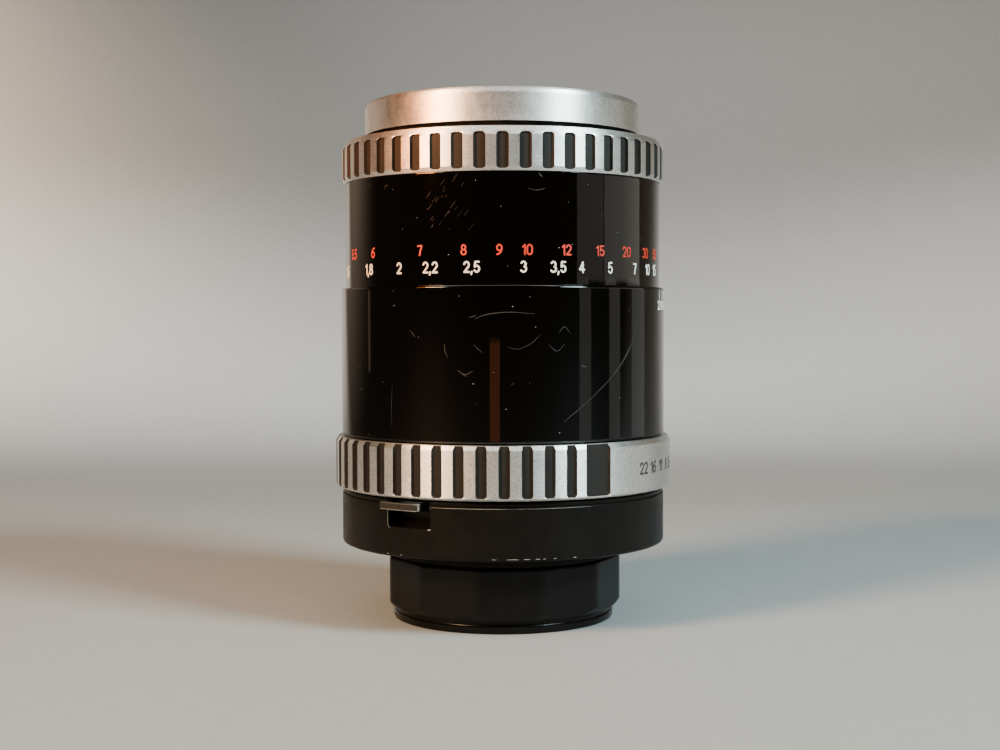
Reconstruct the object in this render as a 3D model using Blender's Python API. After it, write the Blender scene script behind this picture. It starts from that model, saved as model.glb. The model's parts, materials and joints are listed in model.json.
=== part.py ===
"""Medium telephoto camera lens with an automatic iris, standing front up on its rear cap.

Every length below is in millimetres. Heights are measured up from the cap's foot and radii from
the optical axis, which is the Z axis. Angles are in degrees round that axis, from 0 at -Y, where
the scales are read past, and they grow towards +X.
"""
import math

import bmesh
import bpy
from mathutils import Matrix, Vector

MM = 0.001
GAP = 0.3                                   # clearance between neighbouring pieces
OUTER_SEGMENTS = 48
INNER_SEGMENTS = 32
GLASS_SEGMENTS = 24
SURFACE_STEPS = 4                           # rings of facets on a glass surface

# Outside of the lens
CAP_CORNER_R, CAP_BORE_R, CAP_FOOT_R, CAP_TOP = 24.2, 21.3, 22.5, 12.8
CAP_SIDES, CAP_FIRST_CORNER = 12, -11.0
HOUSING_R, HOUSING_BOTTOM, HOUSING_SHOULDER, HOUSING_TOP = 32.9, 15.57, 25.6, 26.5
APERTURE_R, APERTURE_BOTTOM, APERTURE_TOP = 34.2, 27.0, 37.2
BARREL_R, BARREL_TOP = 33.0, 67.0
SLEEVE_R, SLEEVE_BOTTOM, SLEEVE_TOP = 32.05, 50.5, 87.8
GRIP_R, GRIP_BOTTOM, GRIP_TOP = 32.8, 88.0, 96.23
FILTER_R, FILTER_BOTTOM, FILTER_TOP = 28.0, 97.6, 104.15

# Grips: broad flutes cut into both turned rings
FLUTE_DEPTH = 0.55
FOCUS_FLUTES, FOCUS_FLUTE_WIDTH = 48, 3.6   # width in degrees
STOP_FLUTE_PITCH, STOP_FLUTE_WIDTH = 7.2, 3.6
STOP_LAST_FLUTE, STOP_FIRST_FLUTE = 21.9, 108.3
STOP_WIDE_SLOT = (26.95, 36.2)

# Inside of the fixed tube
NECK_R, NECK_BORE_R, NECK_BOTTOM = 31.2, 29.5, 26.9
FIXED_THREAD_R, FIXED_THREAD_BORE_R = 28.9, 27.6
OPTICS_R, OPTICS_BORE_R = 27.3, 25.3
MOUNT_THREAD_R, MOUNT_BORE_R, MOUNT_FACE = 21.0, 19.4, 13.1
BAFFLE_R, BAFFLE_TOP = 15.9, 43.5

# Focus key, aperture drive, and the auto-diaphragm pin
KEY_ANGLES, KEY_BOTTOM, KEY_TOP, KEY_HALF_WIDTH = (60.0, 240.0), 57.0, 61.0, 2.0
DRIVE_ANGLE, STOP_TURN = 150.0, (-6.3, 31.5)
DRIVE_Z = 32.0
BAR_R, BAR_HALF_WIDTH, BAR_BOTTOM = (21.2, 22.8), 1.5, 28.5
PIN_ANGLE, PIN_CIRCLE_R, PIN_TIP, PIN_TOP = -96.0, 17.8, 7.2, 31.0
ROCKER_PIVOT_T, ROCKER_Z = 6.0, 32.0
SCREW_ANGLES, SCREW_CIRCLE_R = (30.0, 150.0, 270.0), 28.0
LEVER_Z = (24.7, 26.1)
NOTCH = (-41.8, -24.5)

# Iris: blades turn on pins in the housing, and the cam ring's slots swing them
BLADES = 6
BLADE_INNER_R, BLADE_OUTER_R, BLADE_ARC = 12.0, 19.0, 108.0
BLADE_THICKNESS, BLADE_PITCH, BLADE_TOP = 0.15, 0.45, 69.6
BLADE_PIVOT_R, BLADE_PIN_ARM = 19.9, 2.3
IRIS_OPEN_R, WIDEST_STOP, SMALLEST_STOP = 11.3, 2.8, 22.0
CAM_Z = (65.6, 66.6)

FINISHES = {
    "gloss_black": ((0.015, 0.013, 0.012), 0.0, 0.12),
    "satin_black": ((0.035, 0.032, 0.030), 0.0, 0.45),
    "flock_black": ((0.012, 0.012, 0.012), 0.0, 0.8),
    "bright_alloy": ((0.80, 0.78, 0.74), 1.0, 0.3),
    "inner_alloy": ((0.60, 0.60, 0.60), 1.0, 0.4),
    "brass": ((0.72, 0.52, 0.25), 1.0, 0.35),
    "steel": ((0.55, 0.55, 0.56), 1.0, 0.3),
    "blade_steel": ((0.08, 0.08, 0.09), 0.8, 0.4),
    "coated_glass": ((0.55, 0.45, 0.70), 0.0, 0.02),
    "clear_glass": ((0.80, 0.85, 0.85), 0.0, 0.02),
    "cap_plastic": ((0.03, 0.03, 0.03), 0.0, 0.5),
}


def clear_scene():
    for obj in list(bpy.data.objects):
        bpy.data.objects.remove(obj, do_unlink=True)


def finish_material(name, finish):
    """A material of the part's own, in one of the lens's finishes."""
    colour, metallic, roughness = FINISHES[finish]
    material = bpy.data.materials.new(f"{name}_{finish}")
    material.use_nodes = True
    shader = material.node_tree.nodes["Principled BSDF"]
    shader.inputs["Base Color"].default_value = (*colour, 1.0)
    shader.inputs["Metallic"].default_value = metallic
    shader.inputs["Roughness"].default_value = roughness
    return material


def group(name):
    """An empty on the optical axis that carries the pieces that move together."""
    empty = bpy.data.objects.new(name, None)
    empty.empty_display_size = 0.02
    bpy.context.scene.collection.objects.link(empty)
    return empty


def add_object(name, bm, origin):
    """An object whose mesh, given in millimetres from the axis, is stored round its own origin."""
    bmesh.ops.translate(bm, verts=bm.verts, vec=-Vector(origin))
    bmesh.ops.scale(bm, verts=bm.verts, vec=(MM, MM, MM))
    bmesh.ops.recalc_face_normals(bm, faces=bm.faces)
    mesh = bpy.data.meshes.new(name)
    bm.to_mesh(mesh)
    bm.free()
    obj = bpy.data.objects.new(name, mesh)
    obj.location = Vector(origin) * MM
    bpy.context.scene.collection.objects.link(obj)
    return obj


def add_part(name, bm, finish, carrier, origin=None):
    """A piece of the lens, with its origin at its lowest height on the axis if none is given."""
    if origin is None:
        origin = (0.0, 0.0, min(vert.co.z for vert in bm.verts))
    obj = add_object(name, bm, origin)
    obj.data.materials.append(finish_material(name, finish))
    obj.data.shade_smooth()
    obj.data.set_sharp_from_angle(angle=math.radians(25))
    obj.parent = carrier
    return obj


def apply_tool(target, bm, operation):
    """Join a second shape to a part, or cut the part with it."""
    tool = add_object(f"{target.name}_{operation.lower()}_{len(target.modifiers)}", bm, (0, 0, 0))
    tool.hide_render = True
    tool.display_type = "WIRE"
    modifier = target.modifiers.new(tool.name, "BOOLEAN")
    modifier.operation = operation
    modifier.solver = "EXACT"
    modifier.object = tool


def cut(target, bm):
    apply_tool(target, bm, "DIFFERENCE")


def join(target, bm):
    apply_tool(target, bm, "UNION")


def polar(radius, degrees):
    angle = math.radians(degrees)
    return Vector((radius * math.sin(angle), -radius * math.cos(angle), 0.0))


def arc(radius, start, end, steps):
    return [polar(radius, start + (end - start) * i / steps) for i in range(steps + 1)]


def turned(profile, segments):
    """A turned solid from its closed outline of (radius, height) points."""
    bm = bmesh.new()
    verts = [bm.verts.new((0.0, -radius, z)) for radius, z in profile]
    for first, second in zip(verts, verts[1:] + verts[:1]):
        if first.co.y or second.co.y:
            bm.edges.new((first, second))
    bmesh.ops.spin(bm, geom=bm.verts[:] + bm.edges[:], cent=(0, 0, 0), axis=(0, 0, 1),
                   angle=math.tau, steps=segments, use_merge=True)
    bmesh.ops.remove_doubles(bm, verts=bm.verts, dist=1e-4)
    return bm


def prism(outline, bottom, top):
    """A straight-sided solid from a closed plan outline."""
    bm = bmesh.new()
    face = bm.faces.new([bm.verts.new((point.x, point.y, bottom)) for point in outline])
    extruded = bmesh.ops.extrude_face_region(bm, geom=[face], use_keep_orig=True)
    moved = [item for item in extruded["geom"] if isinstance(item, bmesh.types.BMVert)]
    bmesh.ops.translate(bm, verts=moved, vec=(0, 0, top - bottom))
    return bm


def sector(inner, outer, start, end, bottom, top, steps=8):
    """A curved block between two radii and two angles."""
    return prism(arc(outer, start, end, steps) + arc(inner, end, start, steps), bottom, top)


def block(angle, near, far, left, right, bottom, top):
    """A square block: near and far run out along the radius, left and right across it."""
    out, across = polar(1.0, angle), polar(1.0, angle + 90.0)
    corners = ((near, left), (far, left), (far, right), (near, right))
    return prism([out * r + across * t for r, t in corners], bottom, top)


def rod(start, end, radius, segments=12):
    """A round rod between two points."""
    start, end = Vector(start), Vector(end)
    bm = bmesh.new()
    bmesh.ops.create_cone(bm, cap_ends=True, segments=segments, radius1=radius, radius2=radius,
                          depth=(end - start).length)
    turn = (end - start).to_track_quat("Z", "Y").to_matrix().to_4x4()
    bmesh.ops.transform(bm, verts=bm.verts, matrix=Matrix.Translation((start + end) / 2) @ turn)
    return bm


def upright(angle, radius, bottom, top, rod_radius, segments=12):
    """A round rod parallel to the optical axis."""
    foot = polar(radius, angle)
    return rod((foot.x, foot.y, bottom), (foot.x, foot.y, top), rod_radius, segments)


def radial(angle, z, near, far, rod_radius, segments=12):
    """A round rod that points at the optical axis."""
    lift = Vector((0, 0, z))
    return rod(polar(near, angle) + lift, polar(far, angle) + lift, rod_radius, segments)


def merge(*parts):
    """Put separate shapes in one mesh, for a tool that cuts in several places."""
    whole = bmesh.new()
    for part in parts:
        mesh = bpy.data.meshes.new("merged")
        part.to_mesh(mesh)
        part.free()
        whole.from_mesh(mesh)
        bpy.data.meshes.remove(mesh)
    return whole


def tube(inner, outer, bottom, top):
    return [(inner, bottom), (outer, bottom), (outer, top), (inner, top)]


def flutes(angles, width, outer, bottom, top):
    """Cutters for shallow flutes across the face of a ring."""
    half = math.radians(width / 2) * outer
    return merge(*[block(angle, outer - FLUTE_DEPTH, outer + 1, -half, half, bottom, top)
                   for angle in angles])


# Rear cap

def make_rear_cap():
    cone_inner, cone_outer = 23.35, CAP_CORNER_R + 0.2
    cap = add_part("rear_cap", turned([
        (0, 0.6), (19.5, 0.6), (19.8, 0), (CAP_FOOT_R - 0.3, 0), (CAP_FOOT_R, 0.4), (CAP_FOOT_R, 1.4),
        (22.0, 1.5), (22.0, 2.6), (cone_inner, 2.75), (cone_outer, 4.2), (cone_outer, CAP_TOP),
        (CAP_BORE_R, CAP_TOP), (CAP_BORE_R, 2.0), (0, 2.0)], OUTER_SEGMENTS), "cap_plastic", None)
    step = 360.0 / CAP_SIDES
    corners = [polar(CAP_CORNER_R, CAP_FIRST_CORNER + step * i) for i in range(CAP_SIDES)]
    apply_tool(cap, prism(corners, -1.0, CAP_TOP + 1.0), "INTERSECT")


# Fixed tube, rear housing and mount

def make_lower_barrel(carrier):
    ledge, bore = 39.5, SLEEVE_R + 0.35
    barrel = add_part("lower_barrel", turned([
        (NECK_BORE_R, NECK_BOTTOM), (NECK_R, NECK_BOTTOM), (NECK_R, 37.5), (BARREL_R - GAP, 37.5),
        (BARREL_R, 37.8), (BARREL_R, BARREL_TOP - 0.5), (BARREL_R - 0.2, BARREL_TOP - 0.1),
        (bore, BARREL_TOP), (bore, 49.5), (NECK_R, 49.5), (NECK_R, ledge), (NECK_BORE_R, ledge)],
        OUTER_SEGMENTS), "gloss_black", carrier)
    pin_sweep = 3.4
    cut(barrel, sector(NECK_BORE_R - 1, NECK_R + 1, DRIVE_ANGLE + STOP_TURN[0] - pin_sweep,
                       DRIVE_ANGLE + STOP_TURN[1] + pin_sweep, DRIVE_Z - 1.3, DRIVE_Z + 1.3))
    cut(barrel, radial(-60.0, 35.4, NECK_BORE_R - 1, NECK_R + 1, 1.1))
    cut(barrel, radial(180.0, 45.0, NECK_R - 1, BARREL_R + 1, 1.7, 16))


def make_fixed_helicoid(carrier):
    add_part("fixed_helicoid", turned([
        (FIXED_THREAD_BORE_R, 39.8), (30.9, 39.8), (30.9, 41.5), (FIXED_THREAD_R, 41.5),
        (FIXED_THREAD_R, 66.0), (FIXED_THREAD_BORE_R, 66.0)], INNER_SEGMENTS), "brass", carrier)


def make_focus_keys(carrier):
    for number, angle in enumerate(KEY_ANGLES, start=1):
        add_part(f"focus_key_{number}", block(angle, 25.9, 27.25, -KEY_HALF_WIDTH, KEY_HALF_WIDTH,
                                              KEY_BOTTOM, KEY_TOP), "steel", carrier)


def make_rear_housing(carrier):
    inner_wall, plate_top = 31.2, 17.6
    housing = add_part("rear_housing", turned([
        (22.0, HOUSING_BOTTOM), (HOUSING_R - 0.6, HOUSING_BOTTOM), (HOUSING_R - 0.15, 15.8),
        (HOUSING_R, 16.2), (HOUSING_R, HOUSING_SHOULDER), (HOUSING_R - 0.15, HOUSING_SHOULDER),
        (HOUSING_R - 0.15, HOUSING_TOP), (inner_wall, HOUSING_TOP), (inner_wall, plate_top),
        (22.0, plate_top)], OUTER_SEGMENTS), "satin_black", carrier)
    cut(housing, sector(inner_wall - 1, HOUSING_R + 1, *NOTCH, 21.3, HOUSING_TOP + 1))
    cut(housing, merge(*[upright(angle, SCREW_CIRCLE_R, HOUSING_BOTTOM - 1, plate_top + 1, 1.8)
                         for angle in SCREW_ANGLES]))


def make_lever_guide(carrier):
    guide = add_part("lever_guide_ring", turned(tube(26.4, 29.4, 17.9, 24.3), INNER_SEGMENTS),
                     "satin_black", carrier)
    cut(guide, merge(*[upright(angle, SCREW_CIRCLE_R, 17.0, 21.3, 1.15)
                       for angle in SCREW_ANGLES]))


def make_mount(carrier):
    mount = add_part("mount_ring", turned([
        (MOUNT_BORE_R, 8.6), (MOUNT_THREAD_R - 0.4, 8.6), (MOUNT_THREAD_R, 9.0),
        (MOUNT_THREAD_R, MOUNT_FACE), (23.6, MOUNT_FACE), (23.6, 15.27), (21.7, 15.27),
        (21.7, 17.6), (16.2, 17.6), (16.2, 15.6), (MOUNT_BORE_R, 15.6)], INNER_SEGMENTS),
        "inner_alloy", carrier)
    cut(mount, upright(PIN_ANGLE, PIN_CIRCLE_R, 14.0, 19.0, 1.3))
    add_part("rear_baffle", turned(tube(BAFFLE_R - 0.8, BAFFLE_R, 14.9, BAFFLE_TOP),
                                   INNER_SEGMENTS), "flock_black", carrier)


def make_mount_screws(carrier):
    for number, angle in enumerate(SCREW_ANGLES, start=1):
        screw = add_part(f"mount_screw_{number}",
                         upright(angle, SCREW_CIRCLE_R, 15.65, 16.6, 1.5), "steel", carrier)
        join(screw, upright(angle, SCREW_CIRCLE_R, 16.3, 21.0, 0.85, 8))
        cut(screw, block(angle, SCREW_CIRCLE_R - 2, SCREW_CIRCLE_R + 2, -0.25, 0.25, 15.0, 16.0))


def make_stop_screw(carrier):
    """Screw in the back of the barrel whose end stops the focusing thread."""
    screw = add_part("focus_stop_screw", radial(180.0, 45.0, 31.5, 32.9, 1.4, 16), "steel", carrier)
    join(screw, radial(180.0, 45.0, 29.4, 31.8, 0.8, 8))
    cut(screw, block(180.0, 32.4, 34.0, -2.0, 2.0, 44.8, 45.2))


def make_click_stop(carrier):
    bm = bmesh.new()
    bmesh.ops.create_uvsphere(bm, u_segments=10, v_segments=6, radius=0.8)
    centre = polar(30.3, -60.0) + Vector((0, 0, 35.4))
    bmesh.ops.translate(bm, verts=bm.verts, vec=centre)
    add_part("click_ball", bm, "steel", carrier, centre)
    add_part("click_leaf_spring", sector(28.7, 29.05, -74.0, -50.0, 34.4, 36.4), "brass", carrier)


# Auto-diaphragm pin and its rocker

def make_pin_bracket(carrier):
    near, far = PIN_CIRCLE_R - 1.2, PIN_CIRCLE_R + 4.0
    bracket = add_part("pin_bracket", block(PIN_ANGLE, near, far, -2.5, 2.5, 17.9, 29.0),
                       "inner_alloy", carrier)
    cut(bracket, block(PIN_ANGLE, near - 1, far - 1.2, -3.5, 3.5, 19.0, 28.0))
    cut(bracket, upright(PIN_ANGLE, PIN_CIRCLE_R, 17.0, 20.0, 1.3))
    cut(bracket, upright(PIN_ANGLE, PIN_CIRCLE_R, 27.0, 30.0, 0.95))


def make_aperture_pin(carrier):
    pin = add_part("aperture_pin", upright(PIN_ANGLE, PIN_CIRCLE_R, PIN_TIP, 22.0, 1.0), "steel",
                   carrier, polar(PIN_CIRCLE_R, PIN_ANGLE) + Vector((0, 0, PIN_TIP)))
    join(pin, upright(PIN_ANGLE, PIN_CIRCLE_R, 21.5, PIN_TOP, 0.6, 10))
    join(pin, upright(PIN_ANGLE, PIN_CIRCLE_R, 19.3, 20.2, 1.8))


def make_pin_spring(carrier):
    """Helical return spring between the pin's collar and the bracket's upper arm."""
    bottom, top, coils, steps, coil_r, wire_r = 20.7, 27.5, 5, 10, 1.45, 0.2
    centre = polar(PIN_CIRCLE_R, PIN_ANGLE)
    curve = bpy.data.curves.new("pin_spring", "CURVE")
    curve.dimensions = "3D"
    curve.bevel_depth = wire_r * MM
    curve.bevel_resolution = 0
    curve.use_fill_caps = True
    spline = curve.splines.new("POLY")
    count = coils * steps + 1
    spline.points.add(count - 1)
    for index, point in enumerate(spline.points):
        place = centre + polar(coil_r, 360.0 * index / steps)
        point.co = (place.x * MM, place.y * MM, (top - bottom) * index / (count - 1) * MM, 1.0)
    spring = bpy.data.objects.new("pin_spring", curve)
    spring.location = (0, 0, bottom * MM)
    spring.parent = carrier
    curve.materials.append(finish_material("pin_spring", "steel"))
    bpy.context.scene.collection.objects.link(spring)


def make_rocker(carrier):
    post = add_part("rocker_post", block(PIN_ANGLE, 19.1, 20.6, ROCKER_PIVOT_T - 1,
                                         ROCKER_PIVOT_T + 1, 17.9, 33.4), "inner_alloy", carrier)
    out, across = polar(1.0, PIN_ANGLE), polar(1.0, PIN_ANGLE + 90.0)
    pivot = across * ROCKER_PIVOT_T + Vector((0, 0, ROCKER_Z))
    join(post, rod(out * 16.6 + pivot, out * 19.5 + pivot, 0.6, 10))
    rocker = add_part("rocker", block(PIN_ANGLE, 16.9, 18.7, -1.6, 11.0, ROCKER_Z - 0.6,
                                      ROCKER_Z + 0.6), "steel", carrier, out * PIN_CIRCLE_R + pivot)
    join(rocker, rod(out * 16.9 + pivot, out * 18.7 + pivot, 1.7))
    cut(rocker, rod(out * 16.0 + pivot, out * 20.0 + pivot, 0.95, 10))


def make_auto_manual_lever(carrier):
    """Bent plate that slides round on the guide ring, with a finger tab outside the housing."""
    tab_start, arm_start, arm_end = -43.3, -28.9, NOTCH[1] - 0.6
    slide_inner, slide_outer, tab_inner, tab_outer = 26.4, 30.4, 33.25, 34.25
    outline = (arc(tab_outer, tab_start, arm_end, 8) + arc(slide_outer, arm_end, -18.0, 2)
               + arc(slide_inner, -18.0, -58.0, 10) + arc(slide_outer, -58.0, arm_start, 8)
               + arc(tab_inner, arm_start, tab_start, 6))
    add_part("auto_manual_lever", prism(outline, *LEVER_Z), "steel", carrier)


# Aperture ring and the parts it drives

def make_aperture_ring(carrier):
    chamfer = 0.5
    ring = add_part("aperture_ring", turned([
        (NECK_R + GAP, APERTURE_BOTTOM), (APERTURE_R - chamfer, APERTURE_BOTTOM),
        (APERTURE_R, APERTURE_BOTTOM + chamfer), (APERTURE_R, APERTURE_TOP - 0.8),
        (APERTURE_R - chamfer, APERTURE_TOP), (NECK_R + GAP, APERTURE_TOP)], OUTER_SEGMENTS),
        "bright_alloy", carrier)
    count = int((360.0 + STOP_LAST_FLUTE - STOP_FIRST_FLUTE) / STOP_FLUTE_PITCH + 1.5)
    angles = [STOP_LAST_FLUTE - STOP_FLUTE_PITCH * i for i in range(count)]
    low, high = APERTURE_BOTTOM + 0.6, APERTURE_TOP + 1.0
    cut(ring, flutes(angles, STOP_FLUTE_WIDTH, APERTURE_R, low, high))
    cut(ring, sector(APERTURE_R - FLUTE_DEPTH, APERTURE_R + 1, *STOP_WIDE_SLOT, low, high, 4))


def make_aperture_drive(carrier):
    add_part("drive_ring", turned(tube(23.2, 28.9, DRIVE_Z - 1, DRIVE_Z + 1), INNER_SEGMENTS),
             "inner_alloy", carrier)
    add_part("aperture_drive_pin", radial(DRIVE_ANGLE, DRIVE_Z, 29.2, 31.2, 1.0), "steel", carrier)
    foot_bottom, prong_top = DRIVE_Z + 1 + GAP, 45.0
    fork = add_part("drive_fork", sector(20.9, 28.6, DRIVE_ANGLE - 10, DRIVE_ANGLE + 10,
                                         foot_bottom, foot_bottom + 1.2), "inner_alloy", carrier)
    join(fork, block(DRIVE_ANGLE, 21.0, 24.4, -4.2, 4.2, foot_bottom + 0.6, prong_top))
    slot = BAR_HALF_WIDTH + GAP
    cut(fork, block(DRIVE_ANGLE, 19.0, BAR_R[1] + GAP, -slot, slot, foot_bottom - 1, prong_top + 1))


# Focusing ring

def make_focus_ring(carrier):
    lip_r, bore = 28.4, 30.9
    grip = add_part("focus_grip", turned([
        (bore, GRIP_BOTTOM), (GRIP_R - 0.5, GRIP_BOTTOM), (GRIP_R, GRIP_BOTTOM + 0.8),
        (GRIP_R, 94.6), (GRIP_R - 0.7, GRIP_TOP), (lip_r, GRIP_TOP), (lip_r, 95.0), (bore, 95.0)],
        OUTER_SEGMENTS), "bright_alloy", carrier)
    step = 360.0 / FOCUS_FLUTES
    cut(grip, flutes([step * i for i in range(FOCUS_FLUTES)], FOCUS_FLUTE_WIDTH, GRIP_R,
                     GRIP_BOTTOM + 0.3, GRIP_TOP - 1.08))
    add_part("scale_sleeve", turned(tube(30.9, SLEEVE_R, SLEEVE_BOTTOM, SLEEVE_TOP),
                                    OUTER_SEGMENTS), "gloss_black", carrier)
    add_part("focus_helicoid", turned(tube(29.2, 30.6, 52.0, 92.5), INNER_SEGMENTS), "brass",
             carrier)
    add_part("grip_lock_ring", turned(tube(28.7, 30.55, 92.8, 94.7), INNER_SEGMENTS),
             "inner_alloy", carrier)


# Optics unit

def make_optics_barrel(carrier):
    barrel = add_part("inner_barrel", turned(tube(OPTICS_BORE_R, OPTICS_R, 42.0, 97.3),
                                             INNER_SEGMENTS), "flock_black", carrier)
    half = KEY_HALF_WIDTH + GAP
    cut(barrel, merge(*[block(angle, 24.0, 29.0, -half, half, 41.0, KEY_TOP + GAP)
                        for angle in KEY_ANGLES]))
    add_part("filter_ring", turned([
        (OPTICS_BORE_R, FILTER_BOTTOM), (FILTER_R, FILTER_BOTTOM), (FILTER_R, FILTER_TOP - 1.1),
        (FILTER_R - 0.2, FILTER_TOP - 0.4), (FILTER_R - 0.6, FILTER_TOP), (26.9, FILTER_TOP),
        (26.9, 98.45), (OPTICS_BORE_R, 98.45)], OUTER_SEGMENTS), "bright_alloy", carrier)
    add_part("name_ring", turned([(24.5, 98.75), (26.6, 98.75), (26.6, 99.6), (24.5, 99.2)],
                                 INNER_SEGMENTS), "satin_black", carrier)


def spherical(radius, apex, edge_r, steps):
    """Points from the axis out along a spherical surface; a positive radius bulges upwards."""
    points = []
    for i in range(steps + 1):
        r = edge_r * i / steps
        sag = abs(radius) - math.sqrt(radius * radius - r * r)
        points.append((r, apex - math.copysign(sag, radius)))
    return points


def make_element(name, front, back, edge_r, finish, carrier, flat_to=None):
    """A glass element from its front and back (radius, apex height) surfaces."""
    back_r = edge_r if flat_to is None else flat_to
    profile = spherical(*back, back_r, SURFACE_STEPS)
    if flat_to is not None:
        profile.append((edge_r, profile[-1][1]))
    profile += reversed(spherical(*front, edge_r, SURFACE_STEPS))
    add_part(name, turned(profile, GLASS_SEGMENTS), finish, carrier)


def make_glass(carrier):
    make_element("front_element", (70.0, 99.4), (2000.0, 91.0), 25.0, "coated_glass", carrier)
    make_element("second_element", (48.0, 90.0), (110.0, 84.8), 22.8, "clear_glass", carrier)
    make_element("third_element", (-150.0, 80.0), (32.0, 78.2), 22.8, "clear_glass", carrier, 17.5)
    make_element("fourth_element", (40.0, 57.5), (-45.0, 50.0), 16.3, "clear_glass", carrier)
    make_element("rear_element", (-45.0, 49.85), (-120.0, 48.0), 16.3, "coated_glass", carrier)


def make_cells(carrier):
    ring = OPTICS_BORE_R - GAP
    add_part("spacer_ring", turned(tube(23.0, ring, 88.9, 90.65), INNER_SEGMENTS), "flock_black",
             carrier)
    add_part("front_cell", turned([
        (19.0, 71.2), (ring, 71.2), (ring, 88.6), (23.1, 88.6), (23.1, 72.7), (19.0, 72.7)],
        INNER_SEGMENTS), "flock_black", carrier)
    add_part("front_cell_ring", turned(tube(21.6, 22.8, 85.3, 87.3), INNER_SEGMENTS),
             "flock_black", carrier)
    rear_cell = add_part("rear_cell", turned([
        (14.8, 45.0), (19.5, 45.0), (19.5, 61.9), (ring, 61.9), (ring, 63.6), (16.6, 63.6),
        (16.6, 48.6), (14.8, 48.6)], INNER_SEGMENTS), "flock_black", carrier)
    bar_sweep = 6.5
    cut(rear_cell, sector(BAR_R[0] - 0.4, BAR_R[1] + 0.4, DRIVE_ANGLE + STOP_TURN[0] - bar_sweep,
                          DRIVE_ANGLE + STOP_TURN[1] + bar_sweep, 61.0, 65.0))
    add_part("rear_cell_ring", turned(tube(15.2, 16.35, 54.9, 56.9), INNER_SEGMENTS),
             "flock_black", carrier)


# Iris

def blade_swing(opening_r):
    """How far a blade has turned in when its edge stands at this radius from the axis."""
    offset = BLADE_INNER_R - opening_r
    return math.degrees(2 * math.asin(offset / (2 * BLADE_PIVOT_R)))


FULL_SWING = blade_swing(IRIS_OPEN_R * WIDEST_STOP / SMALLEST_STOP)
SWING_RATIO = FULL_SWING / (STOP_TURN[1] - STOP_TURN[0])
REST_SWING = -STOP_TURN[0] * SWING_RATIO


def tail_direction():
    """Angle of a blade's driving arm when open: it points straight out halfway through."""
    return -FULL_SWING / 2


def drive_pin_path(steps):
    """Places of a blade's drive pin in the cam ring's frame, with the ring at f/4."""
    path = []
    for i in range(steps + 1):
        turn = STOP_TURN[0] + (STOP_TURN[1] - STOP_TURN[0]) * i / steps
        swing = REST_SWING + turn * SWING_RATIO
        pin = polar(BLADE_PIVOT_R, 0) + polar(BLADE_PIN_ARM, tail_direction() + swing)
        path.append(Matrix.Rotation(math.radians(-turn), 3, "Z") @ pin)
    return path


def slot_outline(path, half_width):
    """The outline of a slot with round ends along a path."""
    left, right = [], []
    for i, point in enumerate(path):
        ahead = path[min(i + 1, len(path) - 1)] - path[max(i - 1, 0)]
        side = Vector((-ahead.y, ahead.x, 0)).normalized() * half_width
        left.append(point + side)
        right.append(point - side)
    ends = []
    for centre, start in ((path[-1], left[-1]), (path[0], right[0])):
        spoke = start - centre
        ends.append([centre + Matrix.Rotation(-math.pi * k / 4, 3, "Z") @ spoke
                     for k in range(1, 4)])
    return left + ends[0] + right[::-1] + ends[1]


def make_blade_shape():
    """One blade round its own pivot, pointing along the arc that it covers when open."""
    pivot, hub_r = polar(BLADE_PIVOT_R, 0), 1.1
    tail = polar(BLADE_PIN_ARM, tail_direction())
    side = Matrix.Rotation(math.radians(90), 3, "Z") @ tail.normalized() * 0.9
    outline = arc(BLADE_INNER_R, -6.0, BLADE_ARC, 18) + arc(BLADE_OUTER_R, BLADE_ARC, 4.0, 14)
    outline += [pivot + side * 1.2, pivot + tail + side, pivot + tail * 1.35 + side * 0.4,
                pivot + tail * 1.35 - side * 0.4, pivot + tail - side, pivot - side * 1.2]
    outline += [polar(BLADE_OUTER_R - 0.2, -6.0)]
    return [point - pivot for point in outline], tail


def make_blades(carrier):
    outline, tail = make_blade_shape()
    for number in range(BLADES):
        angle = 360.0 / BLADES * number
        top = BLADE_TOP - BLADE_PITCH * number
        bottom = top - BLADE_THICKNESS
        blade = add_part(f"iris_blade_{number + 1}", prism(outline, bottom, top), "blade_steel",
                         carrier, (0, 0, bottom))
        blade.location = (polar(BLADE_PIVOT_R, angle) + Vector((0, 0, bottom))) * MM
        blade.rotation_euler.z = math.radians(angle + REST_SWING)
        turn = Matrix.Rotation(math.radians(angle + REST_SWING), 3, "Z")
        pivot = polar(BLADE_PIVOT_R, angle)
        arm = pivot + turn @ tail
        join(blade, rod((pivot.x, pivot.y, top - 0.05), (pivot.x, pivot.y, 70.6), 0.55, 8))
        join(blade, rod((arm.x, arm.y, CAM_Z[0] + 0.3), (arm.x, arm.y, bottom + 0.05), 0.5, 8))


def make_iris_frame(carrier):
    ring, plate_bottom = OPTICS_BORE_R - GAP, 69.9
    housing = add_part("iris_housing", turned([
        (IRIS_OPEN_R, plate_bottom), (24.3, plate_bottom), (24.3, 65.5), (ring, 65.5),
        (ring, 70.9), (IRIS_OPEN_R, 70.9)], INNER_SEGMENTS), "flock_black", carrier)
    cut(housing, merge(*[upright(360.0 / BLADES * i, BLADE_PIVOT_R, 69.0, 72.0, 0.9, 8)
                         for i in range(BLADES)]))
    add_part("iris_retaining_ring", turned(tube(23.3, ring, 63.9, 65.2), INNER_SEGMENTS), "brass",
             carrier)


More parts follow.
